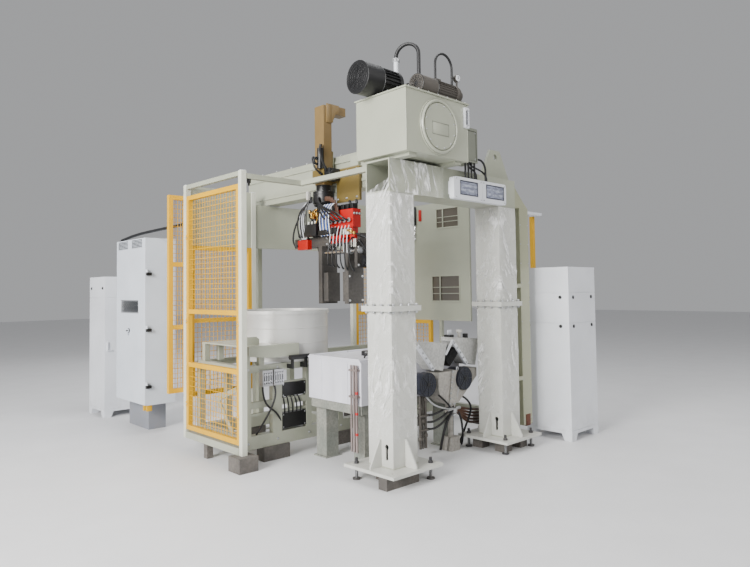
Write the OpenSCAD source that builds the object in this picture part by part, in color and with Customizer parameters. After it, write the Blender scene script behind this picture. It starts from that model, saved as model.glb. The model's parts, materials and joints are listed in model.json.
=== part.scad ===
// Gantry low-pressure casting machine: a two-column portal with a hydraulic unit on top,
// a machine bed with a round water drum behind it, a holding furnace under the beam,
// a die manipulator that hangs from a girder, mesh guards and switch cabinets.
// Origin: middle of the underside of the block under the left portal column.
// +X runs along the portal beam, +Y from the operator side to the bed, +Z up. Millimetres.

/* [Portal] */
// Side of the square portal columns
column_side = 272; // [220:4:300]
// Distance between the two column axes
column_span = 1434; // [1400:2:1700]
// Wall of the column and beam box sections
box_wall = 12; // [8:1:20]
// Height of the underside of the portal beam
beam_low = 2267; // [2240:1:2300]
// Depth of the portal beam
beam_depth = 262; // [240:2:300]
// Height of the bolted joint in each column
joint_height = 1350; // [1200:10:1500]
// Overhang of the bolted joint flanges
flange_over = 34; // [20:1:60]
// Thickness of one joint flange
flange_thick = 22; // [12:1:30]
// Overhang of the column foot plates
foot_over = 143; // [120:1:160]
// Thickness of the column foot plates
foot_thick = 24; // [16:1:40]
// Height of the support block under the left column
block_height = 100; // [80:5:140]
// Side of that support block
block_side = 200; // [160:10:240]
// Height of the foot gussets
gusset_height = 210; // [120:10:300]
// Thickness of welded plates and gussets
plate_thick = 14; // [8:1:25]

/* [Hydraulic unit] */
// Length of the oil tank along the beam
tank_length = 750; // [700:10:850]
// Depth of the oil tank
tank_depth = 562; // [520:2:570]
// Height of the oil tank
tank_height = 484; // [460:2:560]
// Wall of the oil tank
tank_wall = 6; // [4:1:10]
// How far the tank stands out in front of the beam
tank_front = 188; // [180:2:220]
// Height of the bearers between beam and tank
bearer_height = 27; // [20:1:40]
// Radius of the round access cover
cover_radius = 226; // [180:1:230]
// Radius of the large pump motor
motor_radius = 130; // [110:5:140]
// Radius of the small pump motor
small_motor_radius = 80; // [65:5:90]

/* [Guards] */
// Distance of the side guards from the column axes
guard_out = 716; // [700:2:760]
// Side of the guard posts
post_side = 50; // [46:2:96]
// Height of the top of the guard
guard_top = 2530; // [2500:5:2600]
// Height of the underside of bed and guard above the floor
base_height = 125; // [110:5:140]
// Y of the front guard posts
guard_front = 1060; // [1040:5:1090]
// Y of the rear guard posts
guard_rear = 2060; // [2055:5:2140]
// Y of the front post on the right side
right_front = 710; // [650:5:760]
// Side of the guard panel tubes
panel_tube = 42; // [34:2:50]
// Pitch of the welded guard mesh
mesh_pitch = 100; // [90:10:140]
// Thickness of a mesh wire
mesh_wire = 5; // [4:1:7]

/* [Bed] */
// Depth of the base rails
base_rail = 112; // [90:2:130]
// Height of the top of the bed frame
bed_top = 845; // [820:5:870]
// Side of the bed posts
bed_post = 60; // [50:2:70]
// Radius of the water drum
drum_radius = 430; // [400:5:435]
// Height of the water drum rim
drum_top = 1310; // [1240:5:1320]
// Height of the work table
table_top = 1022; // [980:2:1060]

/* [Furnace] */
// Length of the furnace body along X
furnace_length = 1286; // [1240:2:1300]
// Width of the furnace body along Y
furnace_width = 709; // [680:1:720]
// Height of the top of the furnace body
furnace_top = 890; // [860:5:900]

/* [Manipulator] */
// Depth of the girder that carries the manipulator
girder_depth = 330; // [300:5:360]
// Width of the girder
girder_width = 160; // [140:5:180]
// Side of the lift column along X
lift_width = 93; // [80:1:93]
// Length of the lift column
lift_length = 740; // [720:5:760]
// Radius of the guide bars of the die clamp
guide_radius = 16; // [12:1:20]
// Stroke of the die clamp
clamp_stroke = 200; // [150:10:200]

/* [Cabinets] */
// Height of the control cabinet
control_height = 1790; // [1700:10:1790]
// Width of the control cabinet
control_width = 780; // [700:10:860]
// Depth of the control cabinet
control_depth = 325; // [280:5:400]
// Height of the stand under the control cabinet
stand_height = 300; // [250:10:340]
// Height of the two floor cabinets
floor_cabinet_height = 1700; // [1600:10:1800]

/* [Hidden] */
$fn = 48;
seat = 0.3;
half = column_side / 2;
beam_top = beam_low + beam_depth;
foot_top = block_height + foot_thick;
tank_low = beam_top + bearer_height;
lid_thick = 12;
tank_top = tank_low + tank_height;
lid_top = tank_top + lid_thick;
tank_x0 = -half;
tank_y0 = -half - tank_front;
tank_x1 = tank_x0 + tank_length;
tank_y1 = tank_y0 + tank_depth;
guard_left = -guard_out;
guard_right = column_span + guard_out;
bed_left = guard_left + 88;
bed_right = guard_right - 88;
bed_front = guard_front + 110;
bed_rear = guard_rear - post_side / 2 - seat;
bed_low_top = base_height + base_rail;
cream = [0.78, 0.79, 0.73];
yellow = [0.93, 0.72, 0.10];
white = [0.88, 0.89, 0.90];
dark = [0.14, 0.14, 0.15];
steel = [0.62, 0.63, 0.64];
tan = [0.70, 0.58, 0.30];

module block(x0, y0, z0, x1, y1, z1)
    translate([x0, y0, z0]) cube([x1 - x0, y1 - y0, z1 - z0]);

module rod_x(x0, x1, y, z, r)
    translate([x0, y, z]) rotate([0, 90, 0]) cylinder(r = r, h = x1 - x0);

module rod_y(y0, y1, x, z, r)
    translate([x, y0, z]) rotate([-90, 0, 0]) cylinder(r = r, h = y1 - y0);

module rod_z(z0, z1, x, y, r)
    translate([x, y, z0]) cylinder(r = r, h = z1 - z0);

// Plate with an outline in X and Z, from y0 to y1
module plate_xz(y0, y1, points)
    translate([0, y1, 0]) rotate([90, 0, 0]) linear_extrude(y1 - y0) polygon(points);

// Plate with an outline in Y and Z, from x0 to x1
module plate_yz(x0, x1, points)
    translate([x0, 0, 0]) rotate([90, 0, 90]) linear_extrude(x1 - x0) polygon(points);

module square_tube(side, wall, z0, z1)
    difference() {
        block(-side / 2, -side / 2, z0, side / 2, side / 2, z1);
        block(-side / 2 + wall, -side / 2 + wall, z0 - 1, side / 2 - wall, side / 2 - wall, z1 + 1);
    }

// Lower part of a column: foot plate, tube, gussets and joint flange
slot_y = -66;
slot_low = 60;
slot_height = 100;
screw_radius = 12;
function screw_place() = half + foot_over / 2;
module column_leg() {
    flange_low = joint_height - flange_thick;
    difference() {
        union() {
            difference() {
                block(-half - foot_over, -half - foot_over, block_height, half + foot_over,
                      half + foot_over, foot_top);
                for (sx = [-1, 1], sy = [-1, 1])
                    rod_z(block_height - 1, foot_top + 1, sx * screw_place(), sy * screw_place(),
                          screw_radius + 1);
            }
            square_tube(column_side, box_wall, foot_top, flange_low);
            square_tube(column_side + 2 * flange_over, flange_over + box_wall, flange_low, joint_height);
            for (a = [0:90:270])
                rotate([0, 0, a]) translate([half, 0, foot_top]) foot_gusset();
        }
        keyhole();
    }
}

// Keyhole slot low on the left face
module keyhole() {
    z0 = foot_top + slot_low;
    block(-half - 1, slot_y - 12, z0, -half + box_wall + 1, slot_y + 12, z0 + slot_height);
    rod_x(-half - 1, -half + box_wall + 1, slot_y, z0 + slot_height, 20);
}

module foot_gusset()
    rotate([90, 0, 0]) translate([0, 0, -plate_thick / 2])
        linear_extrude(plate_thick)
            polygon([[0, 0], [foot_over - 25, 0], [foot_over - 25, 15], [15, gusset_height],
                     [0, gusset_height]]);

module column_legs() color(cream)
    for (x = [0, column_span])
        translate([x, 0, 0]) column_leg();

module column_heads() color(cream)
    for (x = [0, column_span])
        translate([x, 0, 0]) {
            square_tube(column_side + 2 * flange_over, flange_over + box_wall, joint_height,
                        joint_height + flange_thick);
            square_tube(column_side, box_wall, joint_height + flange_thick, beam_low);
        }

// Box beam, open at its left end, with a tapered lifting lug over the right column
lug_height = 300;
lug_half = 215;
lug_eye = 28;
module portal_beam() color(cream) {
    x1 = column_span + half;
    difference() {
        block(-half, -half, beam_low, x1, half, beam_top);
        block(-half - 1, -half + box_wall, beam_low + box_wall, x1 - box_wall, half - box_wall,
              beam_top - box_wall);
    }
    difference() {
        translate([column_span, 0, beam_top])
            plate_xz(-plate_thick, plate_thick, [[-lug_half, -1], [half, -1], [lug_half, 12], [lug_half, 40],
                                                 [75, lug_height], [-75, lug_height], [-lug_half, 40]]);
        rod_y(-plate_thick - 1, plate_thick + 1, column_span, beam_top + lug_height - 65, lug_eye);
    }
}

// Upright cable trunk beside the right column, with its tapered neck up to the beam end
duct_gap = 144;
duct_width = 151;
duct_low = 160;
duct_top = 2285;
duct_front = -86;
duct_depth = 120;
module cable_duct() color(cream) {
    x0 = column_span + half;
    x1 = x0 + duct_gap;
    block(x1, duct_front, duct_low, x1 + duct_width, duct_front + duct_depth, duct_top);
    plate_xz(duct_front, duct_front + duct_depth,
             [[x0 + seat, duct_top - 1], [x0 + seat, beam_top - 4], [x0 + 60, beam_top - 30],
              [x0 + 120, beam_top - 90], [x1 + duct_width / 2, duct_top + 60],
              [x1 + duct_width, duct_top - 1]]);
}

// Two blocks under the left column, pads under the right one, feet of the bed and of the guard
pad_side = 110;
foot_side = 180;
sill_foot = 60;
sill_foot_y = 1650;
module foot_blocks() color([0.25, 0.23, 0.21]) {
    block(-block_side / 2, -block_side / 2, 0, block_side / 2, block_side / 2, block_height - seat);
    block(-262, -190, 0, 90, 1 - block_side / 2, block_height - seat);
    for (sx = [-1, 1], sy = [-1, 1])
        translate([column_span + sx * (half - 10), sy * (half - 10), 0])
            block(-pad_side / 2, -pad_side / 2, 0, pad_side / 2, pad_side / 2, block_height - seat);
    for (p = post_spots())
        if (p != [guard_left, guard_rear]) translate([p[0], p[1], 0])
            block(-foot_side / 2, -foot_side / 2, 0, foot_side / 2, foot_side / 2, base_height - seat);
    translate([guard_left, sill_foot_y, 0])
        block(-sill_foot / 2, -sill_foot / 2, 0, sill_foot / 2, sill_foot / 2, base_height - seat);
    for (x = [[-450, -173], [400, 580], [column_span + 66, column_span + 246],
              [bed_right - 150, bed_right + 30]])
        block(x[0], bed_front - 20, 0, x[1], bed_front + 100, base_height - seat);
}

// One screw is missing at the near corner of the left column, where the block stands
module levelling_screws() color(dark)
    for (x = [0, column_span], sx = [-1, 1], sy = [-1, 1])
        if (x > 0 || sx > 0 || sy > 0) translate([x + sx * screw_place(), sy * screw_place(), 0]) {
            cylinder(r = 32, h = 14);
            cylinder(r = screw_radius, h = foot_top + 46);
            translate([0, 0, foot_top + seat]) cylinder(r = 20, h = 18, $fn = 6);
        }

cover_x = tank_x0 + tank_length / 2;
cover_z = tank_low + tank_height / 2 - 5;
bearer_width = 80;
module tank_shell() color(cream) {
    for (x = [tank_x0 + 60, tank_x1 - 60 - bearer_width])
        block(x, tank_y0 + 30, beam_top, x + bearer_width, tank_y1 - 30, tank_low + 1);
    difference() {
        block(tank_x0, tank_y0, tank_low, tank_x1, tank_y1, tank_top);
        block(tank_x0 + tank_wall, tank_y0 + tank_wall, tank_low + tank_wall, tank_x1 - tank_wall,
              tank_y1 - tank_wall, tank_top + 1);
        rod_y(tank_y0 - 1, tank_y0 + tank_wall + 1, cover_x, cover_z, cover_radius - 46);
    }
}

module tank_lid() color(cream)
    block(tank_x0 - 12, tank_y0 - 12, tank_top + seat, tank_x1 + 12, tank_y1 + 12, lid_top);

// Round cover with a raised inner disc
module access_cover() color(cream) {
    rod_y(tank_y0 - seat - 10, tank_y0 - seat, cover_x, cover_z, cover_radius);
    rod_y(tank_y0 - seat - 22, tank_y0 - seat - 9, cover_x, cover_z, cover_radius - 40);
}

gauge_x = tank_x1 - 25;
gauge_half = 31;
module level_gauge() color(white)
    difference() {
        block(gauge_x - gauge_half, tank_y0 - seat - 22, tank_top - 200, gauge_x + gauge_half - 8,
              tank_y0 - seat, tank_top - 30);
        block(gauge_x - 20, tank_y0 - seat - 23, tank_top - 182, gauge_x + 12, tank_y0 - seat - 12,
              tank_top - 48);
    }

// Terminal box on the right end of the tank, with its lid recessed in a frame
box_x0 = tank_x1 + seat;
box_x1 = box_x0 + 242;
box_y0 = tank_y0 + 84;
box_low = tank_low + 36;
box_high = box_low + 300;
module tank_switch_box() color(white)
    difference() {
        block(box_x0, box_y0, box_low, box_x1, box_y0 + 180, box_high);
        block(box_x0 + 14, box_y0 - 1, box_low + 14, box_x1 - 14, box_y0 + 8, box_high - 24);
    }

// Cables from the terminal box down into the top of the control panel
cable_radius = 9;
cable_bend = 90;
cable_lead = 40;
cable_y = -half - 89;
module panel_cables() color(dark) {
    for (i = [0:3])
        rod_z(panel_z1 + seat, box_low - seat, box_x0 + 86 + i * 42, cable_y, cable_radius);
    z = box_low + cable_lead;
    rod_x(box_x1 + seat, box_x1 + cable_lead, cable_y, z, cable_radius);
    translate([box_x1 + cable_lead, cable_y, z - cable_bend]) rotate([90, 0, 0])
        rotate_extrude(angle = 90) translate([cable_bend, 0]) circle(r = cable_radius);
    rod_z(panel_z1 + seat, z - cable_bend, box_x1 + cable_lead + cable_bend, cable_y, cable_radius);
}

// Foot-mounted motor with a cowled fan at its left end
module finned_motor(length, r, cowl) {
    rotate([0, 90, 0]) {
        cylinder(r = r, h = cowl);
        translate([0, 0, cowl - 1]) cylinder(r = r * 0.86, h = length - cowl);
        translate([0, 0, length - 30]) cylinder(r = r * 0.98, h = 30);
        for (a = [0:15:345])
            rotate([0, 0, a]) translate([r * 0.84, -r * 0.02, cowl - 1])
                cube([r * 0.13, r * 0.04, length - cowl]);
    }
    translate([cowl + 10, -r * 0.75, -r]) cube([length - cowl - 50, r * 1.5, r * 0.35]);
}
motor_x = tank_x0 - 141;
motor_y = 64;
motor_z = lid_top + seat + motor_radius;
motor_length = 400;
pump_x = motor_x + motor_length + 5;
pump_top = motor_z + 8;
module pump_motor() color(dark) {
    translate([motor_x, motor_y, motor_z]) finned_motor(motor_length, motor_radius, 190);
    rod_x(pump_x - 6, pump_x + 1, motor_y, motor_z, motor_radius * 0.4);
    rod_x(pump_x + 71, pump_x + 140, motor_y, motor_z, motor_radius * 0.4);
    block(pump_x, motor_y - 70, lid_top + seat, pump_x + 72, motor_y + 70, pump_top);
    block(pump_x + 130, motor_y - 45, lid_top + seat, pump_x + 218, motor_y + 45, pump_top + 50);
}

small_x = tank_x0 + 215;
small_y = tank_y0 + 89;
small_z = lid_top + seat + small_motor_radius;
small_length = 462;
small_end = small_x + small_length;
// Small motor with a terminal box on top, its pump end and a pressure gauge on a stem
module small_pump_motor() color(dark) {
    r = small_motor_radius;
    translate([small_x, small_y, small_z]) finned_motor(small_length, r, 194);
    block(small_x + 205, small_y - 35, small_z, small_x + 265, small_y + 35, small_z + r + 3);
    rod_x(small_end - 1, small_end + 70, small_y, small_z, r * 0.6);
    rod_x(small_end + 8, small_end + 24, small_y, small_z, r * 0.9);
    rod_z(small_z, small_z + 130, small_end + 50, small_y, 8);
    rod_y(small_y - 14, small_y + 14, small_end + 50, small_z + 155, 32);
    block(small_end + 20, small_y - 36, lid_top + seat, small_end + 62, small_y + 36, small_z);
}

// Hose that arches from the standpipe to the tank lid, and a loop over the small motor
hose_radius = 16;
arch_a = [pump_x + 34, motor_y];
arch_b = [pump_x + 102, motor_y - 194];
loop_radius = 10;
pipe_length = 245;
arch_rise = 125;
loop_rise = 253;
stand_top = pump_top + pipe_length;
arch_top = stand_top + arch_rise;
loop_top = small_z + small_motor_radius + loop_rise;
module oil_hoses() color(dark) {
    bridge(arch_a, arch_b, hose_radius, arch_top, stand_top + seat, lid_top + seat);
    bridge([small_x + 235, small_y], [small_end - 15, small_y], loop_radius, loop_top,
           small_z + small_motor_radius + 3 + seat, small_z + small_motor_radius * 0.98 + seat);
}

// Two legs joined by a half circle: their places, radius, top and the heights of their feet
module bridge(a, b, thick, top, foot_a, foot_b) {
    d = b - a;
    r = norm(d) / 2;
    z = top - thick - r;
    translate([(a[0] + b[0]) / 2, (a[1] + b[1]) / 2, 0]) rotate([0, 0, atan2(d[1], d[0])]) {
        translate([0, 0, z]) rotate([90, 0, 0])
            rotate_extrude(angle = 180) translate([r, 0]) circle(r = thick);
        rod_z(foot_a, z, -r, 0, thick);
        rod_z(foot_b, z, r, 0, thick);
    }
}

module standpipe() color(white) {
    rod_z(pump_top + seat, stand_top, arch_a[0], arch_a[1], 20);
    rod_z(pump_top + seat, pump_top + 24, arch_a[0], arch_a[1], 27);
    rod_z(stand_top - 30, stand_top, arch_a[0], arch_a[1], 26);
}

// Console with two screens on the front of the beam
panel_x0 = 521;
panel_x1 = 1270;
panel_z0 = 2256;
panel_z1 = 2446;
panel_depth = 107;
panel_body = 52;
panel_corner = 26;
panel_seam = 913;
panel_y0 = -half - panel_depth;
function screens() = [[601, 847], [966, 1236]];
module control_panel() color(white)
    difference() {
        union() {
            y1 = panel_y0 + panel_body;
            c = panel_corner;
            block(panel_x0 + c, panel_y0, panel_z0, panel_x1 - c, y1, panel_z1);
            block(panel_x0, panel_y0, panel_z0 + c, panel_x1, y1, panel_z1 - c);
            for (x = [panel_x0 + c, panel_x1 - c], z = [panel_z0 + c, panel_z1 - c])
                rod_y(panel_y0, y1, x, z, c);
            block(panel_x0 + 2 * c, y1 - 1, panel_z0 + 2 * c, panel_x1 - 2 * c, -half - seat, panel_z1 - c);
        }
        for (s = screens()) block(s[0], panel_y0 - 1, panel_z0 + 40, s[1], panel_y0 + 12, panel_z1 - 26);
        block(panel_seam - 2, panel_y0 - 1, panel_z0 - 1, panel_seam + 2, panel_y0 + 4, panel_z1 + 1);
    }

module panel_screens() color(dark)
    for (s = screens())
        block(s[0] + 1, panel_y0 + 3, panel_z0 + 41, s[1] - 1, panel_y0 + 12 - seat, panel_z1 - 27);

// Guard posts at the corners and between the rear panels
function rear_post_xs() = [20, column_span - 20];
function post_spots() = concat([[guard_left, guard_front], [guard_left, guard_rear],
                                [guard_right, right_front], [guard_right, guard_rear]],
                               [for (x = rear_post_xs()) [x, guard_rear]]);
module guard_posts() color(white)
    for (p = post_spots())
        translate([p[0], p[1], 0])
            difference() {
                block(-post_side / 2, -post_side / 2, base_height, post_side / 2, post_side / 2, guard_top);
                block(-post_side / 2 + 4, -post_side / 2 + 4, base_height - 1, post_side / 2 - 4,
                      post_side / 2 - 4, guard_top - 4);
            }

// Thin ties from the portal to the front guard posts, side rails and sills
bar = 60;
top_bar = 40;
tie = 44;
tie_low = 2465;
left_tie_x = -90;
right_tie_x = column_span + 90;
module guard_rails() color(cream) {
    z1 = tie_low + tie;
    block(guard_left + post_side / 2 + seat, guard_front - tie / 2, tie_low, left_tie_x - tie / 2 - seat,
          guard_front + tie / 2, z1);
    block(left_tie_x - tie / 2, half + seat, tie_low, left_tie_x + tie / 2, guard_front + tie / 2, z1);
    block(right_tie_x + tie / 2 + seat, right_front - tie / 2, tie_low, guard_right - post_side / 2 - seat,
          right_front + tie / 2, z1);
    block(right_tie_x - tie / 2, half + seat, tie_low, right_tie_x + tie / 2, right_front + tie / 2, z1);
    side_bar(guard_left, guard_front, guard_top - top_bar, top_bar);
    side_bar(guard_left, guard_front, base_height, bar);
    side_bar(guard_right, right_front, base_height, bar);
    block(guard_right - bar / 2, right_front + post_side / 2 + seat, guard_top - bar, guard_right + bar / 2,
          sheet_front - seat, guard_top);
    block(guard_right - 20, stile_y - 20, base_height + bar + seat, guard_right + 20, stile_y + 20,
          sheet_low - seat);
}
module side_bar(x, y, z, h)
    block(x - h / 2, y + post_side / 2 + seat, z, x + h / 2, guard_rear - post_side / 2 - seat, z + h);

// Mesh panel in its own XZ plane: tube frame with two cross tubes and welded wire
module mesh_panel(w, h, rails, meshed) {
    t = panel_tube;
    zs = concat([0], rails, [h - t]);
    difference() {
        cube([w, t, h]);
        for (i = [0:len(zs) - 2])
            translate([t, -1, zs[i] + t]) cube([w - 2 * t, t + 2, zs[i + 1] - zs[i] - t]);
    }
    for (i = [0:len(zs) - 2])
        if (meshed[i]) translate([t, t / 2, zs[i] + t]) wires(w - 2 * t, zs[i + 1] - zs[i] - t);
}
module wires(w, h) {
    nx = floor(w / mesh_pitch);
    nz = floor(h / mesh_pitch);
    for (k = [1:1:nx])
        translate([k * w / (nx + 1) - mesh_wire / 2, 0, -1]) cube([mesh_wire, mesh_wire, h + 2]);
    for (k = [1:1:nz])
        translate([-1, mesh_wire - 1, k * h / (nz + 1) - mesh_wire / 2]) cube([w + 2, mesh_wire, mesh_wire]);
}
panel_low = base_height + bar + 20;
panel_high = guard_top - bar - 50;
panel_rails = [590, 1090];
side_panel_w = guard_rear - guard_front - post_side - 2 * seat;
module left_guard_panel() color(yellow)
    translate([guard_left + panel_tube / 2, guard_front + post_side / 2 + seat, panel_low]) rotate([0, 0, 90])
        mesh_panel(side_panel_w, panel_high - panel_low, panel_rails, [true, false, true]);

rear_panel_low = 500;
rear_sheet_low = 1950;
rear_panel_w = rear_post_xs()[0] - guard_left - post_side - 2 * seat;
wing_out = 172;
wing_low = 545;
wing_high = 2430;
// Two wide panels at the back and a narrow wing on the rear face of the left rear post
module rear_guard_panels() color(yellow) {
    for (x = [guard_left, rear_post_xs()[1]])
        translate([x + post_side / 2 + seat, guard_rear - panel_tube / 2, rear_panel_low])
            mesh_panel(rear_panel_w, rear_sheet_low - rear_panel_low - seat, [700], [true, true]);
    translate([guard_left - wing_out, guard_rear + post_side / 2 + seat, wing_low])
        mesh_panel(wing_out + post_side / 2, wing_high - wing_low, [600, 1200], [true, true, true]);
}

right_panel_w = 576;
module right_guard_panel() color(yellow)
    translate([guard_right + panel_tube / 2, guard_rear - post_side / 2 - seat - right_panel_w,
               base_height + bar + seat])
        rotate([0, 0, 90])
            mesh_panel(right_panel_w, sheet_low - base_height - bar - 2 * seat, [450], [true, true]);

// Sheet guard with an upper and a lower window, on the right side
sheet_thick = 24;
sheet_low = 1125;
sheet_front = right_front + 152;
stile_y = 1310;
window_wall = 5;
function windows() = [[1020, 2227, 1354, 2450], [1018, 1356, 1434, 1650]];
module right_guard_sheet() color(cream)
    difference() {
        block(guard_right - sheet_thick / 2, sheet_front, sheet_low, guard_right + sheet_thick / 2,
              guard_rear - post_side / 2 - seat, guard_top);
        for (w = windows())
            block(guard_right - sheet_thick, w[0], w[1], guard_right + sheet_thick, w[2], w[3]);
    }
module guard_windows() color([0.25, 0.28, 0.30])
    for (w = windows())
        block(guard_right - window_wall / 2, w[0] + seat, w[1] + seat, guard_right + window_wall / 2,
              w[2] - seat, w[3] - seat);

// Sheets over the rear panels, lower between the middle posts where the girder passes
module rear_guard_sheet() color(cream) {
    xs = concat([guard_left], rear_post_xs(), [guard_right]);
    for (i = [0:len(xs) - 2])
        block(xs[i] + post_side / 2 + seat, guard_rear - sheet_thick / 2, rear_sheet_low,
              xs[i + 1] - post_side / 2 - seat, guard_rear + sheet_thick / 2,
              i == 1 ? girder_low - 7 : guard_top);
}

// Box girder along Y, bolted to the back of the beam and carried by a post at its rear end
girder_x0 = 190;
girder_low = 2412;
girder_front = 250;
girder_rear = 2400;
girder_wall = 8;
nose_top = 2540;
rail_size = 24;
rail_proud = 12;
function rail_heights() = [girder_low + 56, girder_low + girder_depth - 70];
module girder() color(cream) {
    x1 = girder_x0 + girder_width;
    w = girder_wall;
    difference() {
        block(girder_x0, girder_front, girder_low, x1, girder_rear, girder_low + girder_depth);
        block(girder_x0 + w, girder_front + w, girder_low + w, x1 - w, girder_rear + 1,
              girder_low + girder_depth - w);
    }
    block(girder_x0, half + seat, girder_low, x1, girder_front + 1, nose_top);
    for (z = rail_heights())
        block(girder_x0 - rail_proud, girder_front + 30, z, girder_x0 + 1, girder_rear - 20, z + rail_size);
    post_x = girder_x0 + girder_width / 2;
    translate([post_x, girder_rear - 70, 0]) {
        block(-post_side / 2, -post_side / 2, 11, post_side / 2, post_side / 2, girder_low - seat);
        block(-foot_side / 2, -foot_side / 2, 0, foot_side / 2, foot_side / 2, 12);
    }
}

// Welded frame of the bed: base rails, posts, middle rails, top rails and braces
base_width = 80;
top_rail = 60;
wide_post = 98;
function front_posts() = [[bed_left, bed_post], [-342, wide_post], [30, bed_post], [420, bed_post],
                          [1000, bed_post], [column_span + 66, bed_post], [bed_right - bed_post, bed_post]];
module bed_frame() color(cream) {
    for (y = [bed_front, bed_rear - base_width])
        block(bed_left, y, base_height, bed_right, y + base_width, bed_low_top);
    for (x = [bed_left, 440, column_span + 126, bed_right - base_width])
        block(x, bed_front + 1, base_height, x + base_width, bed_rear - 1, bed_low_top);
    for (p = front_posts()) {
        block(p[0], bed_front, bed_low_top - 1, p[0] + p[1], bed_front + bed_post, bed_top - 1);
        block(p[0], bed_rear - bed_post, bed_low_top - 1, p[0] + bed_post, bed_rear, bed_top - 1);
    }
    for (y = [bed_front, bed_rear - bed_post])
        block(bed_left, y, bed_top - top_rail, bed_right, y + bed_post, bed_top);
    for (x = [bed_left, bed_right - bed_post])
        block(x, bed_front + 1, bed_top - top_rail, x + bed_post, bed_rear - 1, bed_top);
    block(bed_left + 1, bed_front, 473, bed_right - 1, bed_front + 40, 530);
    block(bed_left + 1, bed_front + 4, 406, 31, bed_front + 34, 430);
    block(-245, bed_front + 4, 668, 31, bed_front + 24, 682);
    for (s = [[[130, 640], [460, 522]], [[460, 522], [200, 250]]])
        plate_yz(bed_left - 10, bed_left + 1, bar_outline(s[0], s[1], 44));
}

// Corners of a bar of width w between two points, its ends cut square; Y counts from the bed front
function bar_outline(a, b, w) =
    let (d = b - a, n = [-d[1], d[0]] / norm(d) * w / 2, o = [bed_front, 0])
    [a + n + o, a - n + o, b - n + o, b + n + o];

module bed_switch_boxes() color(dark) {
    block(-243.5, bed_front + 4, 541, 27, bed_front + 120, 659);
    block(-243.5, bed_front + 4, 256, 27, bed_front + 120, 390);
    rod_x(-215, 0, bed_front - 84, 898, 22);
    for (x = [-190, -40])
        plate_yz(x, x + 16, [[bed_front - 90, 796], [bed_front - seat, 796], [bed_front - seat, 836],
                             [bed_front - 62, 836], [bed_front - 62, 884], [bed_front - 90, 884]]);
}

module valve_blocks() color(steel)
    for (i = [0, 1])
        translate([-487 + i * 120, bed_front - 60, 664])
            difference() {
                cube([103, 60 - seat, 140]);
                for (k = [0:3])
                    translate([10 + k * 24, -1, 20]) cube([11, 22, 100]);
            }

// Table with a round cut for the drum, its legs, a sloping front apron and a back ledge
table_thick = 12;
table_front = bed_front - 60;
table_right = -94;
module table() color(cream) {
    z0 = table_top - table_thick;
    difference() {
        block(bed_left, table_front, z0, table_right, bed_rear - 100, table_top);
        rod_z(z0 - 1, table_top + 1, drum_x, drum_y, drum_radius + drum_rim + seat);
    }
    for (x = [bed_left, -480], y = [bed_front, bed_rear - 160])
        block(x, y, bed_top + seat, x + 50, y + 50, z0 + 1);
    plate_xz(table_front, table_front + 8, [[bed_left, z0 + 1], [bed_left, 936], [-390, 909],
                                            [table_right, 915], [table_right, z0 + 1]]);
    plate_xz(bed_front + 60, bed_front + 72, [[bed_left, table_top - 1], [bed_left, 1095], [-475, 1095],
                                              [-444, 1072], [-444, table_top - 1]]);
}

drum_x = 64;
drum_y = guard_rear - 490;
drum_rim = 12;
drum_wall = 8;
module drum() color(white)
    translate([drum_x, drum_y, 0])
        difference() {
            union() {
                rod_z(bed_top + seat, drum_top, 0, 0, drum_radius, $fn = 96);
                rod_z(drum_top - 30, drum_top, 0, 0, drum_radius + drum_rim, $fn = 96);
            }
            rod_z(bed_top + 20, drum_top + 1, 0, 0, drum_radius - drum_wall, $fn = 96);
        }

// Holding furnace: body with a lid plate, dark base frame with legs
furnace_x0 = -36;
furnace_y0 = 331;
furnace_low = 530;
furnace_x1 = furnace_x0 + furnace_length;
furnace_y1 = furnace_y0 + furnace_width;
furnace_lid = 15;
module furnace_shell() color([0.80, 0.81, 0.84]) {
    block(furnace_x0, furnace_y0, furnace_low, furnace_x1, furnace_y1, furnace_top + 1);
    block(furnace_x0 - 6, furnace_y0 + 6, furnace_top, furnace_x1 + 6, furnace_y1 + 6,
          furnace_top + furnace_lid);
    for (y = [furnace_y0 + 180, furnace_y1 - 180])
        block(furnace_x0 - 5, y - 12, furnace_low + 1, furnace_x0 + 1, y + 12, furnace_top - 10);
}

base_low = 450;
leg_side = 140;
module furnace_base() color([0.45, 0.46, 0.44]) {
    block(furnace_x0 + 15, furnace_y0 + 15, base_low, furnace_x1 - 15, furnace_y1 - 15, furnace_low - seat);
    for (x = [furnace_x0 + 60, furnace_x1 - 60 - leg_side],
         y = [furnace_y0 + 30, furnace_y1 - 30 - leg_side]) {
        block(x, y, 11, x + leg_side, y + leg_side, base_low - seat);
        block(x - 20, y - 20, 0, x + leg_side + 20, y + leg_side + 20, 12);
    }
}

// Pipes down the near corner of the furnace, in two clips
pipe_x = furnace_x0 - 26;
module furnace_pipes() color(white) {
    for (i = [0:2])
        rod_z(150, 870, pipe_x, furnace_y0 + 30 + i * 34, i == 2 ? 8 : 11);
    for (z = [600, 820])
        block(pipe_x - 14, furnace_y0 + 12, z, furnace_x0 - seat, furnace_y0 + 116, z + 16);
}

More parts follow.
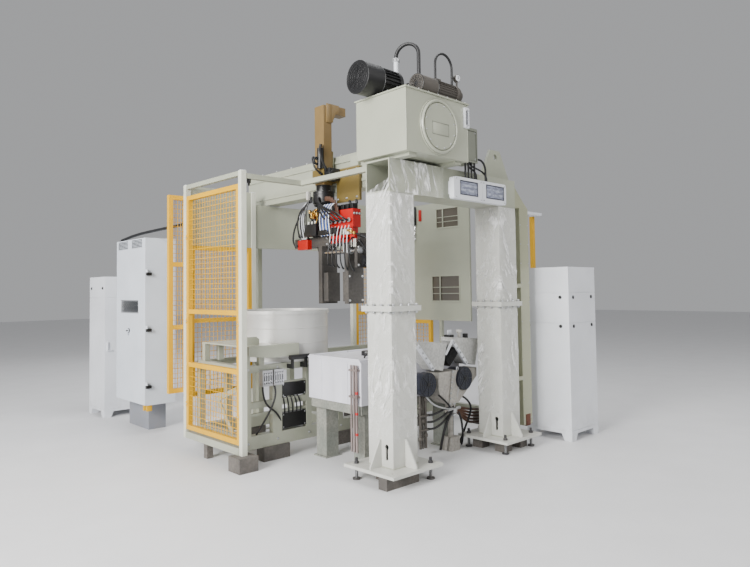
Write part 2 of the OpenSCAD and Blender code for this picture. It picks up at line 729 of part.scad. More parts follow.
// Melt box below the two inductor housings, cut out round the right fan, with its flange and drain
unit_y1 = furnace_y0 - seat;
unit_depth = 130;
hopper_y0 = unit_y1 - 150;
module furnace_hopper() color([0.68, 0.66, 0.62]) {
    difference() {
        plate_xz(hopper_y0, unit_y1, [[770, 740], [1330, 740], [1330, 660], [1060, 450], [1020, 440],
                                      [930, 440], [860, 460], [790, 530], [770, 590]]);
        rod_y(hopper_y0 - 1, unit_y1 + 1, fan_spots()[1][0], fan_spots()[1][1], fan_radius + 3);
    }
    plate_xz(hopper_y0 - 12, unit_y1, [[948, 742], [966, 738], [920, 436], [902, 442]]);
    rod_z(330, 441, 1010, hopper_y0 + 70, 46);
    rod_z(360, 380, 1010, hopper_y0 + 70, 66);
    rod_z(125, 331, 1010, hopper_y0 + 70, 24);
    block(950, hopper_y0 + 10, 0, 1070, hopper_y0 + 130, 126);
}

// Two equal tilted housings side by side, each with a flange strap along its lower edge
unit_x = 513;
unit_pitch = 479;
unit_rise = 12;
module inductor_housings() color([0.72, 0.72, 0.70])
    for (i = [0, 1])
        translate([unit_x + i * unit_pitch, 0, 1035 + i * unit_rise]) {
            plate_xz(unit_y1 - unit_depth, unit_y1,
                     [[0, 0], [407, -36], [344, -287], [206, -256], [-1, -26]]);
            plate_xz(unit_y1 - unit_depth - 14, unit_y1, [[-1, -26], [207, -257], [197, -266], [-11, -35]]);
        }

fan_radius = 108;
function fan_spots() = [[609, 655], [1126, 656]];
module blower_motors() color(dark)
    for (p = fan_spots()) {
        rod_y(unit_y1 - 110, unit_y1, p[0], p[1], fan_radius * 0.9);
        rod_y(unit_y1 - 170, unit_y1 - 109, p[0], p[1], fan_radius);
    }

// Carriage: plate on the girder rails with a sleeve round the lift column
lift_x0 = 40;
lift_x1 = lift_x0 + lift_width;
lift_y0 = 886;
lift_y1 = 1019;
plate_x0 = 150;
plate_x1 = girder_x0 - rail_proud - seat;
plate_y0 = 530;
plate_y1 = 1060;
sleeve_low = 2490;
sleeve_top = 2612;
sleeve_wall = 18;
module carriage() color(tan) {
    plate_yz(plate_x0, plate_x1, [[plate_y0, 2300], [840, 2300], [840, sleeve_low], [plate_y1, sleeve_low],
                                  [plate_y1, sleeve_top], [plate_y0, sleeve_top]]);
    for (y = [plate_y0 + 20, plate_y1 - 120])
        block(plate_x0 + 4, y, sleeve_low + 6, plate_x1, y + 100, rail_heights()[1] + rail_size + 10);
    difference() {
        block(lift_x0 - sleeve_wall, lift_y0 - sleeve_wall, sleeve_low, plate_x0 + 1, lift_y1 + sleeve_wall,
              sleeve_top);
        block(lift_x0 - seat, lift_y0 - seat, sleeve_low - 1, lift_x1 + seat, lift_y1 + seat, sleeve_top + 1);
    }
    block(lift_x1 + 4, lift_y0 + 4, sleeve_top - 1, lift_x1 + 24, lift_y1 - 4, sleeve_top + 178);
}

// Geared lift motor on the sleeve, with its supply loop
module lift_motor() color(dark) {
    y = lift_y0 + 14;
    x = lift_x0 - 34;
    rod_z(sleeve_top + seat, 2800, x, y, 28);
    rod_z(sleeve_top + seat, sleeve_top + 60, x, y, 29);
    translate([x - 40, y, 2680]) rotate([90, 0, 0])
        rotate_extrude(angle = 360) translate([30, 0]) circle(r = 10);
}

// Square lift column with the end bracket of its rack
lift_low = sleeve_low - 20;
lift_top = lift_low + lift_length;
bracket_reach = 190;
module lift_column() color(tan) {
    block(lift_x0, lift_y0, lift_low, lift_x1, lift_y1, lift_top);
    block(lift_x1 - 1, lift_y0 + 20, lift_top - 60, lift_x1 + bracket_reach, lift_y1 - 20, lift_top + 20);
}

// Head: beam under the drive, hanging rear platen with its die half, front yoke
head_x = 90;
head_half = 60;
head_low = 1900;
head_top = 1990;
head_front = 400;
head_rear = 1330;
platen_half = 90;
platen_low = 1380;
platen_y = 880;
platen_thick = 50;
yoke_thick = 36;
yoke_low = 1690;
guide_z = 1840;
rod_level = 1750;
guide_out = 58;
open_y = 520;
module head_frame() color([0.42, 0.40, 0.38])
    difference() {
        union() {
            block(head_x - head_half, head_front, head_low, head_x + head_half, head_rear, head_top);
            block(head_x - platen_half, platen_y, platen_low, head_x + platen_half, platen_y + platen_thick,
                  head_low + 1);
            block(head_x - platen_half, head_front, yoke_low, head_x + platen_half, head_front + yoke_thick,
                  head_low + 1);
            block(head_x - 70, platen_y - die_thick, platen_low + 20, head_x + 70, platen_y + 1,
                  platen_low + 280);
            plate_yz(head_x - 10, head_x + 10, [[platen_y + platen_thick - 1, 1560],
                                                [platen_y + platen_thick + 120, head_low + 1],
                                                [platen_y + platen_thick - 1, head_low + 1]]);
        }
        guides(head_front - 1, head_front + yoke_thick + 1, guide_radius + fit);
        guides(platen_y - 1, platen_y + platen_thick + 1, guide_radius + fit);
        rod_y(head_front - 1, head_front + yoke_thick + 1, head_x, rod_level, rod_radius + fit);
    }
die_thick = 60;
fit = 0.05;
rod_radius = 20;
module guides(y0, y1, r)
    for (s = [-1, 1]) rod_y(y0, y1, head_x + s * guide_out, guide_z, r);

module guide_bars() color(steel)
    guides(head_front - 12, platen_y + platen_thick, guide_radius);

// Clamp cylinder in front of the yoke, bored for its rod
barrel_front = head_front - clamp_stroke;
module clamp_cylinder() color(dark)
    difference() {
        union() {
            rod_y(barrel_front, head_front - seat, head_x, rod_level, 40);
            block(head_x - 42, head_front - 26, rod_level - 44, head_x + 42, head_front - seat,
                  rod_level + 44);
        }
        rod_y(barrel_front + 12, head_front + 1, head_x, rod_level, rod_radius + fit);
    }

// Moving platen with its bushes, rod and die half
moving_die = platen_y - die_thick - open_y - platen_thick - clamp_stroke - 5;
module moving_platen() color(steel) {
    difference() {
        block(head_x - platen_half, open_y, platen_low, head_x + platen_half, open_y + platen_thick,
              head_low - 12);
        guides(open_y - 1, open_y + platen_thick + 1, guide_radius + fit);
    }
    rod_y(barrel_front + 30, open_y + 1, head_x, rod_level, rod_radius);
    block(head_x - 70, open_y + platen_thick - 1, platen_low + 20, head_x + 70,
          open_y + platen_thick + moving_die, platen_low + 280);
}

// Rotary drive between lift column and head, with the rods and the disc behind it
drive_y = (lift_y0 + lift_y1) / 2;
drive_x = (lift_x0 + lift_x1) / 2;
module rotary_drive() color(dark) {
    rod_z(2300, lift_low - seat - 60, drive_x, drive_y, 100);
    rod_z(lift_low - seat - 61, lift_low - seat, drive_x, drive_y, 70);
    rod_z(head_top + seat, 2301, drive_x, drive_y, 66);
    for (s = [-1, 1])
        rod_z(head_top + seat, 2240, drive_x - 62, drive_y + s * 52, 26);
    rod_z(head_top + seat, head_top + 180, head_x, 1085, 12);
    rod_y(1060, 1130, head_x, head_top + 220, 46);
    for (s = [-1, 1])
        rod_z(head_top + seat, 2250, head_x, 1290 + s * 20, 11);
    block(head_x - 16, 1262, 2215, head_x + 16, 1326, 2240);
}

// Valve manifold on the head, with its fittings and the valve boxes on its left side
module head_manifold() color([0.55, 0.20, 0.16]) {
    block(head_x - 45, 500, head_top + 60, head_x + 45, 812, head_top + 222);
    for (y = [520, 760])
        block(head_x - 30, y, head_top + seat, head_x + 30, y + 34, head_top + 61);
    for (i = [0:4])
        rod_x(head_x - 75, head_x - 44, 530 + i * 60, head_top + 120, 18);
    for (i = [0:3])
        block(head_x - head_half - 34, 430 + i * 84, head_low + 14, head_x - head_half - seat, 492 + i * 84,
              head_low + 80);
    block(head_x - head_half - 50, 1066, 1880, head_x - head_half - seat, 1216, 1970);
}

// Steel cabinet, open at its left face
control_x = -736;
control_y = 2975;
door_thick = 20;
cabinet_wall = 20;
cabinet_x = control_x + door_thick + seat;
module control_cabinet() color([0.80, 0.82, 0.86])
    translate([cabinet_x, control_y, stand_height])
        difference() {
            cube([control_depth, control_width, control_height]);
            translate([-1, cabinet_wall, cabinet_wall])
                cube([control_depth - cabinet_wall + 1, control_width - 2 * cabinet_wall,
                      control_height - 2 * cabinet_wall]);
        }

// Hinge parts on the near side of the cabinet: arm, lower knuckle and pin
hinge_x = control_x + door_thick / 2;
hinge_y = control_y - 22;
hinge_radius = 12;
pin_radius = 5;
knuckle = 32;
function hinge_heights() = [stand_height + 215, stand_height + 815, stand_height + 1415];
module door_hinges() color(dark)
    for (z = hinge_heights()) {
        rod_z(z - knuckle, z, hinge_x, hinge_y, hinge_radius);
        rod_z(z - 1, z + knuckle - 4, hinge_x, hinge_y, pin_radius);
        block(hinge_x, hinge_y - 10, z - knuckle, hinge_x + 50, control_y - seat, z);
    }

// Door with its upper knuckles, two louvre fields, a display recess and a turn handle
vent_low = 1993;
module control_cabinet_door() color(white)
    difference() {
        union() {
            block(control_x, control_y, stand_height + 4, control_x + door_thick,
                  control_y + control_width, stand_height + control_height);
            for (z = hinge_heights()) {
                rod_z(z + seat, z + knuckle, hinge_x, hinge_y, hinge_radius);
                block(hinge_x - 10, hinge_y, z + seat, hinge_x + 10, control_y + 1, z + knuckle);
            }
            rod_x(control_x - 14, control_x + 1, control_y + control_width - 355, 1082, 18);
            block(control_x - 26, control_y + control_width - 361, 1030, control_x - 13,
                  control_y + control_width - 349, 1096);
        }
        for (z = hinge_heights())
            rod_z(z - 1, z + knuckle - 3, hinge_x, hinge_y, pin_radius + fit);
        for (y = [control_y + 84, control_y + control_width - 319], k = [0:5])
            block(control_x - 1, y, vent_low + k * 14, control_x + 5, y + 267, vent_low + k * 14 + 6);
        block(control_x - 1, control_y + 178, 1286, control_x + 4, control_y + control_width - 145, 1409);
    }

// Recessed plinth under the control cabinet
module cabinet_stand() color(dark)
    block(cabinet_x + 110, control_y + 200, 0, cabinet_x + control_depth - 20,
          control_y + control_width - 60, stand_height - seat);

// Floor cabinet with lift-off covers, seams and a skirt cut out between its feet
skirt_high = 70;
module floor_cabinet(w, d, seams) {
    difference() {
        cube([w, d, floor_cabinet_height]);
        plate_yz(-1, w + 1, skirt_cut(d));
        plate_xz(-1, d + 1, skirt_cut(w));
        for (z = seams) difference() {
            translate([-1, -1, z]) cube([w + 2, d + 2, 5]);
            translate([3, 3, z - 1]) cube([w - 6, d - 6, 7]);
        }
    }
}
function skirt_cut(l) = [[80, -1], [l - 80, -1], [l - 80, 0], [l - 110, skirt_high], [110, skirt_high],
                         [80, 0]];
module far_cabinet() color(white)
    translate([-711, 4188, 0]) {
        floor_cabinet(521, 512, [100, floor_cabinet_height - 258]);
        translate([26, -16, 800]) cube([12, 17, 110]);
        translate([26, -16, 800]) cube([60, 12, 12]);
    }

module side_cabinet() color(white)
    translate([column_span + 593, -421, 0])
        floor_cabinet(530, 500, [100, floor_cabinet_height - 556, floor_cabinet_height - 258]);

// Conduit from the rear guard post to the top of the control cabinet, swept along its route
conduit_radius = 16;
conduit_x = -700;
conduit_sides = 10;
function conduit_points() =
    let (t = stand_height + control_height, e = t + conduit_radius * cos(180 / conduit_sides) + seat)
    [[guard_rear + post_side / 2 + panel_tube + 2 * seat, t + 75], [2409, t + 70], [2800, t + 65],
     [3165, t + 57], [3400, t + 44], [3560, t + 29], [3700, e]];
function lean(p, i) = let (d = p[min(i + 1, len(p) - 1)] - p[max(i - 1, 0)]) d / norm(d);
module cable_conduit() color(dark) {
    p = conduit_points();
    n = conduit_sides;
    rings = [for (i = [0:len(p) - 1], k = [0:n - 1])
        let (t = lean(p, i), a = 360 * k / n, c = conduit_radius * cos(a), s = conduit_radius * sin(a))
        [conduit_x + c, p[i][0] - t[1] * s, p[i][1] + t[0] * s]];
    sides = [for (i = [0:len(p) - 2], k = [0:n - 1])
        [i * n + k, i * n + (k + 1) % n, (i + 1) * n + (k + 1) % n, (i + 1) * n + k]];
    first = [for (k = [n - 1:-1:0]) k];
    last = [for (k = [0:n - 1]) (len(p) - 1) * n + k];
    polyhedron(rings, concat(sides, [first, last]));
}

column_legs();
column_heads();
portal_beam();
cable_duct();
foot_blocks();
levelling_screws();
tank_shell();
tank_lid();
access_cover();
level_gauge();
tank_switch_box();
panel_cables();
pump_motor();
small_pump_motor();
oil_hoses();
standpipe();
control_panel();
panel_screens();
guard_posts();
guard_rails();
left_guard_panel();
rear_guard_panels();
rear_guard_sheet();
right_guard_sheet();
guard_windows();
right_guard_panel();
girder();
bed_frame();
bed_switch_boxes();
valve_blocks();
table();
drum();
furnace_shell();
furnace_base();
furnace_pipes();
furnace_hopper();
inductor_housings();
blower_motors();
carriage();
lift_motor();
lift_column();
head_frame();
rotary_drive();
head_manifold();
guide_bars();
clamp_cylinder();
moving_platen();
control_cabinet();
door_hinges();
control_cabinet_door();
cabinet_stand();
far_cabinet();
side_cabinet();
cable_conduit();
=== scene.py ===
# %% [markdown]
# # A gantry low-pressure casting machine
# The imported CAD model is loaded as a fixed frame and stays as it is. This lesson gives every part its
# paint, steel, rubber or glass, and adds what a workshop would fit last: film, bolts, wires, hoses.

# %% Load the frame
import json
import math

import bpy
from mathutils import Matrix, Vector, noise


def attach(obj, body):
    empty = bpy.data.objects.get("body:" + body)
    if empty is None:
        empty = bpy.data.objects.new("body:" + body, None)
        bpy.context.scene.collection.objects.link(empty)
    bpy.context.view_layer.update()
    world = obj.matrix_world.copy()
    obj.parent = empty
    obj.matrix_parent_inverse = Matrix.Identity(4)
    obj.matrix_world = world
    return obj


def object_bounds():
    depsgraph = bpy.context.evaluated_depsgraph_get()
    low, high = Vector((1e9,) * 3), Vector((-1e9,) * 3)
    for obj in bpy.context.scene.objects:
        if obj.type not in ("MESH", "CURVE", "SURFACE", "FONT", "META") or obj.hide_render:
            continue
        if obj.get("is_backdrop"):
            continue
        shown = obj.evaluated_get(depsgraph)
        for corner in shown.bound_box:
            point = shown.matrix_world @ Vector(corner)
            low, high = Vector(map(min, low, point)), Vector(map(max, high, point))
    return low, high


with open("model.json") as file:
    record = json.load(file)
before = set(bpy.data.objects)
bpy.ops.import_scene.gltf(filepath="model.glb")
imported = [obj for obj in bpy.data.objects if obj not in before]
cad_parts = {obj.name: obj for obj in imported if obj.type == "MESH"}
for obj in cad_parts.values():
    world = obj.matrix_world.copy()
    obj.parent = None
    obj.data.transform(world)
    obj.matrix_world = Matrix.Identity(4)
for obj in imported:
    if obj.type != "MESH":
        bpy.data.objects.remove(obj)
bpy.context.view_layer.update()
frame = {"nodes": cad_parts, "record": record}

# %% [markdown]
# The camera stands where the photographer stood. Its place came from fitting the edges of the two
# columns, the tank and the fence. All other sizes in this file are in millimetres, as in the CAD source.

# %% Place the camera
MM = 0.001
EYE = Vector((-3.5376, -3.5415, 1.5))
YAW, PITCH, ROLL = 0.8111, 0.0427, -0.0132
FOCAL_PIXELS = 623.03
IMAGE_WIDTH = 750
AXIS_ABOVE_MIDDLE = 20.5


def add_object(name, data):
    item = bpy.data.objects.new(name, data)
    bpy.context.scene.collection.objects.link(item)
    return item


forward = Vector((math.cos(PITCH) * math.cos(YAW), math.cos(PITCH) * math.sin(YAW), math.sin(PITCH)))
level_right = Vector((math.sin(YAW), -math.cos(YAW), 0))
level_up = level_right.cross(forward)
right = math.cos(ROLL) * level_right + math.sin(ROLL) * level_up
up = math.cos(ROLL) * level_up - math.sin(ROLL) * level_right
camera = add_object("camera", bpy.data.cameras.new("camera"))
camera.data.sensor_width = 36
camera.data.lens = FOCAL_PIXELS / IMAGE_WIDTH * camera.data.sensor_width
camera.data.shift_y = -AXIS_ABOVE_MIDDLE / IMAGE_WIDTH
camera.data.clip_end = 200
camera.matrix_world = Matrix.Translation(EYE) @ Matrix((right, up, -forward)).transposed().to_4x4()
bpy.context.scene.camera = camera
print("lens", round(camera.data.lens, 2), "mm")

# %% [markdown]
# The workshop is left out. A pale floor and four large soft lamps stand in for it, brightest from above
# and from the left, where the hall has its windows.

# %% Set up floor and light
AIM = Vector((0.6, 0.9, 1.2))


def lamp(name, place, size, power, colour):
    light = bpy.data.lights.new(name, "AREA")
    light.size = size
    light.energy = power
    light.color = colour
    item = add_object(name, light)
    item.location = place
    item.rotation_euler = (AIM - Vector(place)).to_track_quat("-Z", "Y").to_euler()


lamp("window_left", (-8.5, -1.0, 4.2), 4, 1750, (1.0, 0.99, 0.97))
lamp("window_front", (2.0, -8.5, 6.5), 6, 460, (1.0, 0.98, 0.95))
lamp("skylight", (0.5, 1.0, 9.0), 6, 520, (0.98, 0.99, 1.0))
lamp("window_back", (3.5, 9.0, 6.0), 6, 150, (0.95, 0.97, 1.0))
world = bpy.data.worlds.new("hall")
world.use_nodes = True
world.node_tree.nodes["Background"].inputs["Color"].default_value = (0.94, 0.95, 0.97, 1)
world.node_tree.nodes["Background"].inputs["Strength"].default_value = 0.42
bpy.context.scene.world = world

# %% [markdown]
# A finish is a small tree of shader nodes. `Value` wraps a socket, so that sums on it can be written as
# plain Python, and `Finish.add` makes any other node. Patterns read Object coordinates, which are metres
# here, because every piece keeps its place in its mesh.

# %% Shader tools


class Value:
    """An output of a node. Sums on it add Math nodes."""

    def __init__(self, finish, socket):
        self.finish, self.socket = finish, socket

    def sum(self, operation, first, second):
        return self.finish.add("ShaderNodeMath", {"operation": operation}, {0: first, 1: second})

    def __add__(self, other):
        return self.sum("ADD", self, other)

    def __radd__(self, other):
        return self.sum("ADD", other, self)

    def __sub__(self, other):
        return self.sum("SUBTRACT", self, other)

    def __rsub__(self, other):
        return self.sum("SUBTRACT", other, self)

    def __mul__(self, other):
        return self.sum("MULTIPLY", self, other)

    def __rmul__(self, other):
        return self.sum("MULTIPLY", other, self)


class Finish:
    """One material and its shader, with the Object coordinates at hand."""

    def __init__(self, name):
        self.material = bpy.data.materials.new(name)
        self.material.use_nodes = True
        self.tree = self.material.node_tree
        self.shader = self.tree.nodes["Principled BSDF"]
        self.place = self.add("ShaderNodeTexCoord", output="Object")

    def add(self, kind, settings=None, values=None, output=0):
        node = self.tree.nodes.new(kind)
        for key, setting in (settings or {}).items():
            if key == "stops":
                for stop, (where, grey) in zip(node.color_ramp.elements, setting):
                    stop.position = where
                    stop.color = (grey, grey, grey, 1)
            else:
                setattr(node, key, setting)
        for key, value in (values or {}).items():
            self.feed(node.inputs[key], value)
        return Value(self, node.outputs[output])

    def feed(self, socket, value):
        if isinstance(value, Value):
            self.tree.links.new(value.socket, socket)
        else:
            socket.default_value = value

    def put(self, **values):
        for key, value in values.items():
            self.feed(self.shader.inputs[key.replace("_", " ")], value)

    def noise(self, scale, detail=3.0, stretch=(1, 1, 1)):
        spot = self.add("ShaderNodeMapping", None, {"Vector": self.place, "Scale": stretch})
        return self.add("ShaderNodeTexNoise", None, {"Vector": spot, "Scale": scale, "Detail": detail})

    def ramp(self, value, low, high, dark=0.0, light=1.0):
        return self.add("ShaderNodeValToRGB", {"stops": ((low, dark), (high, light))}, {"Fac": value})

    def mix(self, amount, first, second):
        return self.add("ShaderNodeMix", {"data_type": "RGBA"}, {0: amount, 6: first, 7: second}, 2)

    def axis(self, name):
        return self.add("ShaderNodeSeparateXYZ", None, {0: self.place}, name)

    def bump(self, height, distance, strength=0.5, edge=2.0):
        soft = self.add("ShaderNodeBevel", {"samples": 4}, {"Radius": edge * MM})
        values = {"Height": height, "Distance": distance, "Strength": strength, "Normal": soft}
        self.put(Normal=self.add("ShaderNodeBump", None, values))


def shade(colour, factor):
    return tuple(min(1.0, c * factor) for c in colour[:3]) + (1,)


DUST = (0.36, 0.33, 0.29, 1)
PEEL_SCALE, PEEL_DEPTH = 420.0, 0.00025
CREAM = (0.37, 0.385, 0.305)

# %% [markdown]
# Most of the machine is sprayed steel. A coat of paint is never quite even: it has a fine orange peel,
# cloudy patches, rubbed spots that are glossier, and dust that settles on faces that look up and near
# the floor. One recipe with different numbers makes every paint here.

# %% Paint, metal and rubber
def coat(name, colour, rough=0.4, metal=0.0, gloss=0.0, dust=0.35, grain=PEEL_DEPTH, patch=0.07, edge=2.0,
        streaks=None):
    finish = Finish(name)
    base = tuple(colour) + (1,)
    cloud = finish.ramp(finish.noise(2.6, 5.0), 0.32, 0.7)
    tone = finish.mix(cloud, shade(base, 1 - patch), shade(base, 1 + patch * 0.6))
    if streaks:
        lines = finish.ramp(finish.noise(9.0, 4.0, streaks), 0.45, 0.72)
        tone = finish.mix(lines * 0.3, tone, shade(base, 0.72))
    normal = finish.add("ShaderNodeNewGeometry", output="Normal")
    facing = finish.add("ShaderNodeSeparateXYZ", None, {0: normal}, "Z")
    settled = finish.ramp(facing, 0.62, 0.98) * finish.ramp(finish.noise(7.0, 6.0), 0.3, 0.72) * dust
    near_floor = finish.ramp(finish.axis("Z"), 0.0, 0.35, 1.0, 0.0)
    splash = near_floor * finish.ramp(finish.noise(11.0, 7.0), 0.42, 0.68) * dust
    tone = finish.mix(settled, tone, DUST)
    tone = finish.mix(splash, tone, shade(DUST, 0.7))
    peel = finish.noise(PEEL_SCALE, 2.0)
    finish.put(Base_Color=tone, Metallic=metal, Coat_Weight=gloss, Coat_Roughness=0.18,
        Roughness=finish.noise(6.0, 4.0) * 0.22 + settled * 0.4 + (rough - 0.11))
    finish.bump(peel + finish.noise(60.0, 3.0) * 0.4, grain, 0.6, edge)
    return finish.material


def casting(name, colour, second, rough=0.85, grain=0.0022, edge=5.0, metal=0.0):
    finish = Finish(name)
    patches = finish.ramp(finish.noise(4.5, 7.0), 0.36, 0.66)
    specks = finish.ramp(finish.noise(48.0, 8.0), 0.4, 0.62)
    tone = finish.mix(patches, tuple(colour) + (1,), tuple(second) + (1,))
    tone = finish.mix(specks * 0.45, tone, shade(tuple(second), 0.45))
    finish.put(Base_Color=tone, Metallic=metal, Roughness=finish.noise(14.0, 4.0) * 0.3 + (rough - 0.15))
    finish.bump(finish.noise(95.0, 6.0) + finish.noise(22.0, 4.0) * 0.8, grain, 0.7, edge)
    return finish.material


PAINTS = {
    "cream_paint": coat("machine_cream", CREAM, 0.34, gloss=0.3),
    "white_paint": coat("satin_white", (0.70, 0.72, 0.76), 0.38, gloss=0.15, dust=0.25),
    "cabinet_paint": coat("cabinet_blue_white", (0.62, 0.66, 0.72), 0.42, dust=0.25),
    "safety_yellow": coat("safety_yellow", (0.66, 0.36, 0.0), 0.5, dust=0.03),
    "dark_block": casting("dark_block", (0.085, 0.078, 0.072), (0.15, 0.135, 0.12)),
    "zinc_steel": coat("zinc_plate", (0.50, 0.51, 0.52), 0.4, metal=0.85, dust=0.2, patch=0.14),
    "chrome_rod": coat("hard_chrome", (0.70, 0.71, 0.73), 0.2, metal=1.0, dust=0.0, grain=0.00005, edge=0.5),
    "motor_black": coat("motor_black", (0.008, 0.008, 0.009), 0.4, dust=0.06, patch=0.3),
    "black_rubber": coat("hose_rubber", (0.006, 0.006, 0.007), 0.45, dust=0.05, patch=0.3, grain=0.0004,
                         edge=0.5),
    "screen_glass": coat("screen_glass", (0.022, 0.025, 0.028), 0.16, gloss=1.0, dust=0.0, grain=0.00002,
                         edge=0.5),
    "stainless": coat("drum_sheet", (0.70, 0.70, 0.68), 0.42, metal=0.35, dust=0.3, patch=0.1,
                      streaks=(1, 1, 0.08)),
    "furnace_paint": coat("heat_proof_paint", (0.66, 0.66, 0.72), 0.55, dust=0.35, patch=0.1,
                          streaks=(1, 1, 0.1)),
    "rough_casting": casting("rough_casting", (0.24, 0.22, 0.20), (0.34, 0.32, 0.29)),
    "tan_paint": coat("tan_paint", (0.205, 0.132, 0.046), 0.42, gloss=0.15, dust=0.15, patch=0.16),
    "red_paint": coat("valve_red", (0.44, 0.004, 0.003), 0.38, gloss=0.3, dust=0.06),
}
SPECIAL = {
    "furnace_base": casting("furnace_frame_grey", (0.20, 0.215, 0.19), (0.30, 0.30, 0.26), 0.7, 0.0008, 3.0),
    "furnace_hopper": casting("melt_box_skin", (0.33, 0.31, 0.28), (0.44, 0.42, 0.38), 0.75, 0.0014),
    "inductor_housings": casting("inductor_skin", (0.46, 0.46, 0.44), (0.56, 0.56, 0.54), 0.6, 0.0010, 4.0),
    "head_frame": casting("head_casting", (0.045, 0.042, 0.04), (0.085, 0.078, 0.07), 0.55, 0.0008, 3.0, 0.3),
    "moving_platen": casting("platen_steel", (0.10, 0.095, 0.09), (0.16, 0.15, 0.14), 0.5, 0.0006, 2.0, 0.6),
    "cable_duct": coat("trunk_cream", (0.34, 0.345, 0.235), 0.42, gloss=0.1),
    "levelling_screws": coat("blued_screw", (0.05, 0.05, 0.055), 0.45, metal=0.6, dust=0.3, patch=0.2),
    "small_pump_motor": coat("weathered_motor", (0.085, 0.075, 0.064), 0.5, dust=0.5, patch=0.35),
    "furnace_pipes": coat("pink_copper", (0.26, 0.21, 0.20), 0.4, metal=0.4, dust=0.35, patch=0.3),
    "tank_switch_box": coat("box_grey_green", (0.20, 0.21, 0.17), 0.4, dust=0.2),
    "column_legs": coat("column_white", (0.55, 0.555, 0.515), 0.34, gloss=0.2),
    "guard_posts": coat("post_cream", (0.60, 0.61, 0.52), 0.4, dust=0.2),
    "guard_windows": coat("window_glass", (0.10, 0.085, 0.065), 0.12, gloss=1.0, dust=0.0, edge=0.5),
    # The stand sits recessed under the cabinet, and its dark blue-grey is painted shade: the tone of the
    # shadow beneath the cabinet.
    "cabinet_stand": coat("plinth_shade_grey", (0.22, 0.23, 0.26), 0.5, dust=0.3),
    "blower_motors": coat("fan_navy", (0.018, 0.022, 0.04), 0.4, dust=0.2, patch=0.3),
}
SPECIAL["column_heads"] = SPECIAL["column_legs"]
RUST = casting("rusty_plate", (0.07, 0.02, 0.01), (0.13, 0.045, 0.025), 0.8, 0.0008, 2.0)
BRASS = coat("brass", (0.66, 0.42, 0.12), 0.28, metal=1.0, dust=0.1, patch=0.12, edge=0.5)
BLUE = coat("blue_hose", (0.02, 0.07, 0.30), 0.4, dust=0.1, edge=0.5)
NAVY = coat("navy_frame", (0.012, 0.014, 0.035), 0.3, gloss=0.4, dust=0.0, edge=0.5)
PLUG = coat("plug_grey", (0.55, 0.54, 0.50), 0.4, dust=0.1, edge=0.5)
BROWN = coat("brown_bracket", (0.075, 0.034, 0.02), 0.5, dust=0.2, patch=0.3)
print(len(PAINTS), "finishes for", len(frame["nodes"]), "CAD nodes")

# %% [markdown]
# The plate of the carriage is tan below and has the cream of the machine where it reaches up the girder.

# %% Two-colour carriage
two = Finish("carriage_two_tone")
upper = two.ramp(two.axis("Z") * 0.2, 0.5222, 0.5226)
outer = two.ramp(two.axis("X"), 0.1490, 0.1496)
two.put(Base_Color=two.mix(upper * outer, (0.145, 0.10, 0.024, 1), (*CREAM, 1)), Coat_Weight=0.2,
    Roughness=two.noise(6.0) * 0.2 + 0.32)
two.bump(two.noise(PEEL_SCALE, 2.0), PEEL_DEPTH)
SPECIAL["carriage"] = two.material

# %% [markdown]
# Each CAD node takes the finish of its slot, apart from a few with a skin of their own.

# %% Dress the CAD nodes
node_slots = {part["node"]: part["material_slot"] for part in frame["record"]["subparts"]}


def dress(item, material):
    item.data.materials.clear()
    item.data.materials.append(material)


for node, item in frame["nodes"].items():
    dress(item, SPECIAL.get(node, PAINTS[node_slots[node]]))

floor_paint = coat("pale_floor", (0.70, 0.70, 0.71), 0.5, dust=0.0, patch=0.03, edge=0.5)
bpy.ops.object.select_all(action="DESELECT")
bpy.ops.mesh.primitive_plane_add(size=70, location=(0, 0, 0))
floor = bpy.context.object
floor.name = "floor"
dress(floor, floor_paint)
floor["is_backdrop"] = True

# %% [markdown]
# The helpers below work as a hand would at the screen: nothing selected, add a primitive, shape it,
# apply. The result always sits at the world origin with its place in its mesh, as the CAD nodes do.

# %% Modelling tools
SMOOTH_ANGLE = math.radians(35)
pieces = []


def point(*values):
    return Vector(values) * MM


def deselect():
    bpy.ops.object.select_all(action="DESELECT")


def pick(items):
    deselect()
    for item in items:
        item.select_set(True)
    bpy.context.view_layer.objects.active = items[0]


def join(items):
    pick(items)
    if len(items) > 1:
        bpy.ops.object.join()
    return bpy.context.view_layer.objects.active


def settle(item):
    pick([item])
    bpy.ops.object.transform_apply(location=True, rotation=True, scale=True)
    return item


def round_edges(item, width, steps=2):
    soft = item.modifiers.new("edges", "BEVEL")
    soft.width = width * MM
    soft.segments = steps
    soft.limit_method = "ANGLE"
    soft.harden_normals = False
    pick([item])
    bpy.ops.object.modifier_apply(modifier=soft.name)
    return item


def block(low, high, edge=2.0):
    low, high = point(*low), point(*high)
    deselect()
    bpy.ops.mesh.primitive_cube_add(size=1, location=(low + high) / 2)
    item = bpy.context.object
    item.scale = high - low
    return round_edges(settle(item), edge)


TURN = {"X": (0, math.pi / 2, 0), "Y": (math.pi / 2, 0, 0), "Z": (0, 0, 0)}


def disc(middle, axis, radius, length, edge=1.0, sides=32):
    deselect()
    bpy.ops.mesh.primitive_cylinder_add(vertices=sides, radius=radius * MM, depth=length * MM,
        location=point(*middle), rotation=TURN[axis])
    return round_edges(settle(bpy.context.object), edge, 1 if sides < 12 else 2)


def ring(middle, axis, radius, thick, sides=40):
    deselect()
    bpy.ops.mesh.primitive_torus_add(major_radius=radius * MM, minor_radius=thick * MM, major_segments=sides,
        minor_segments=8, location=point(*middle), rotation=TURN[axis])
    return settle(bpy.context.object)


def bars(low, high, wide):
    """The four bars of a frame round a rectangle, each as two corners."""
    (a0, b0), (a1, b1) = low, high
    return (((a0, b0), (a1, b0 + wide)), ((a0, b1 - wide), (a1, b1)), ((a0, b0), (a0 + wide, b1)),
        ((a1 - wide, b0), (a1, b1)))


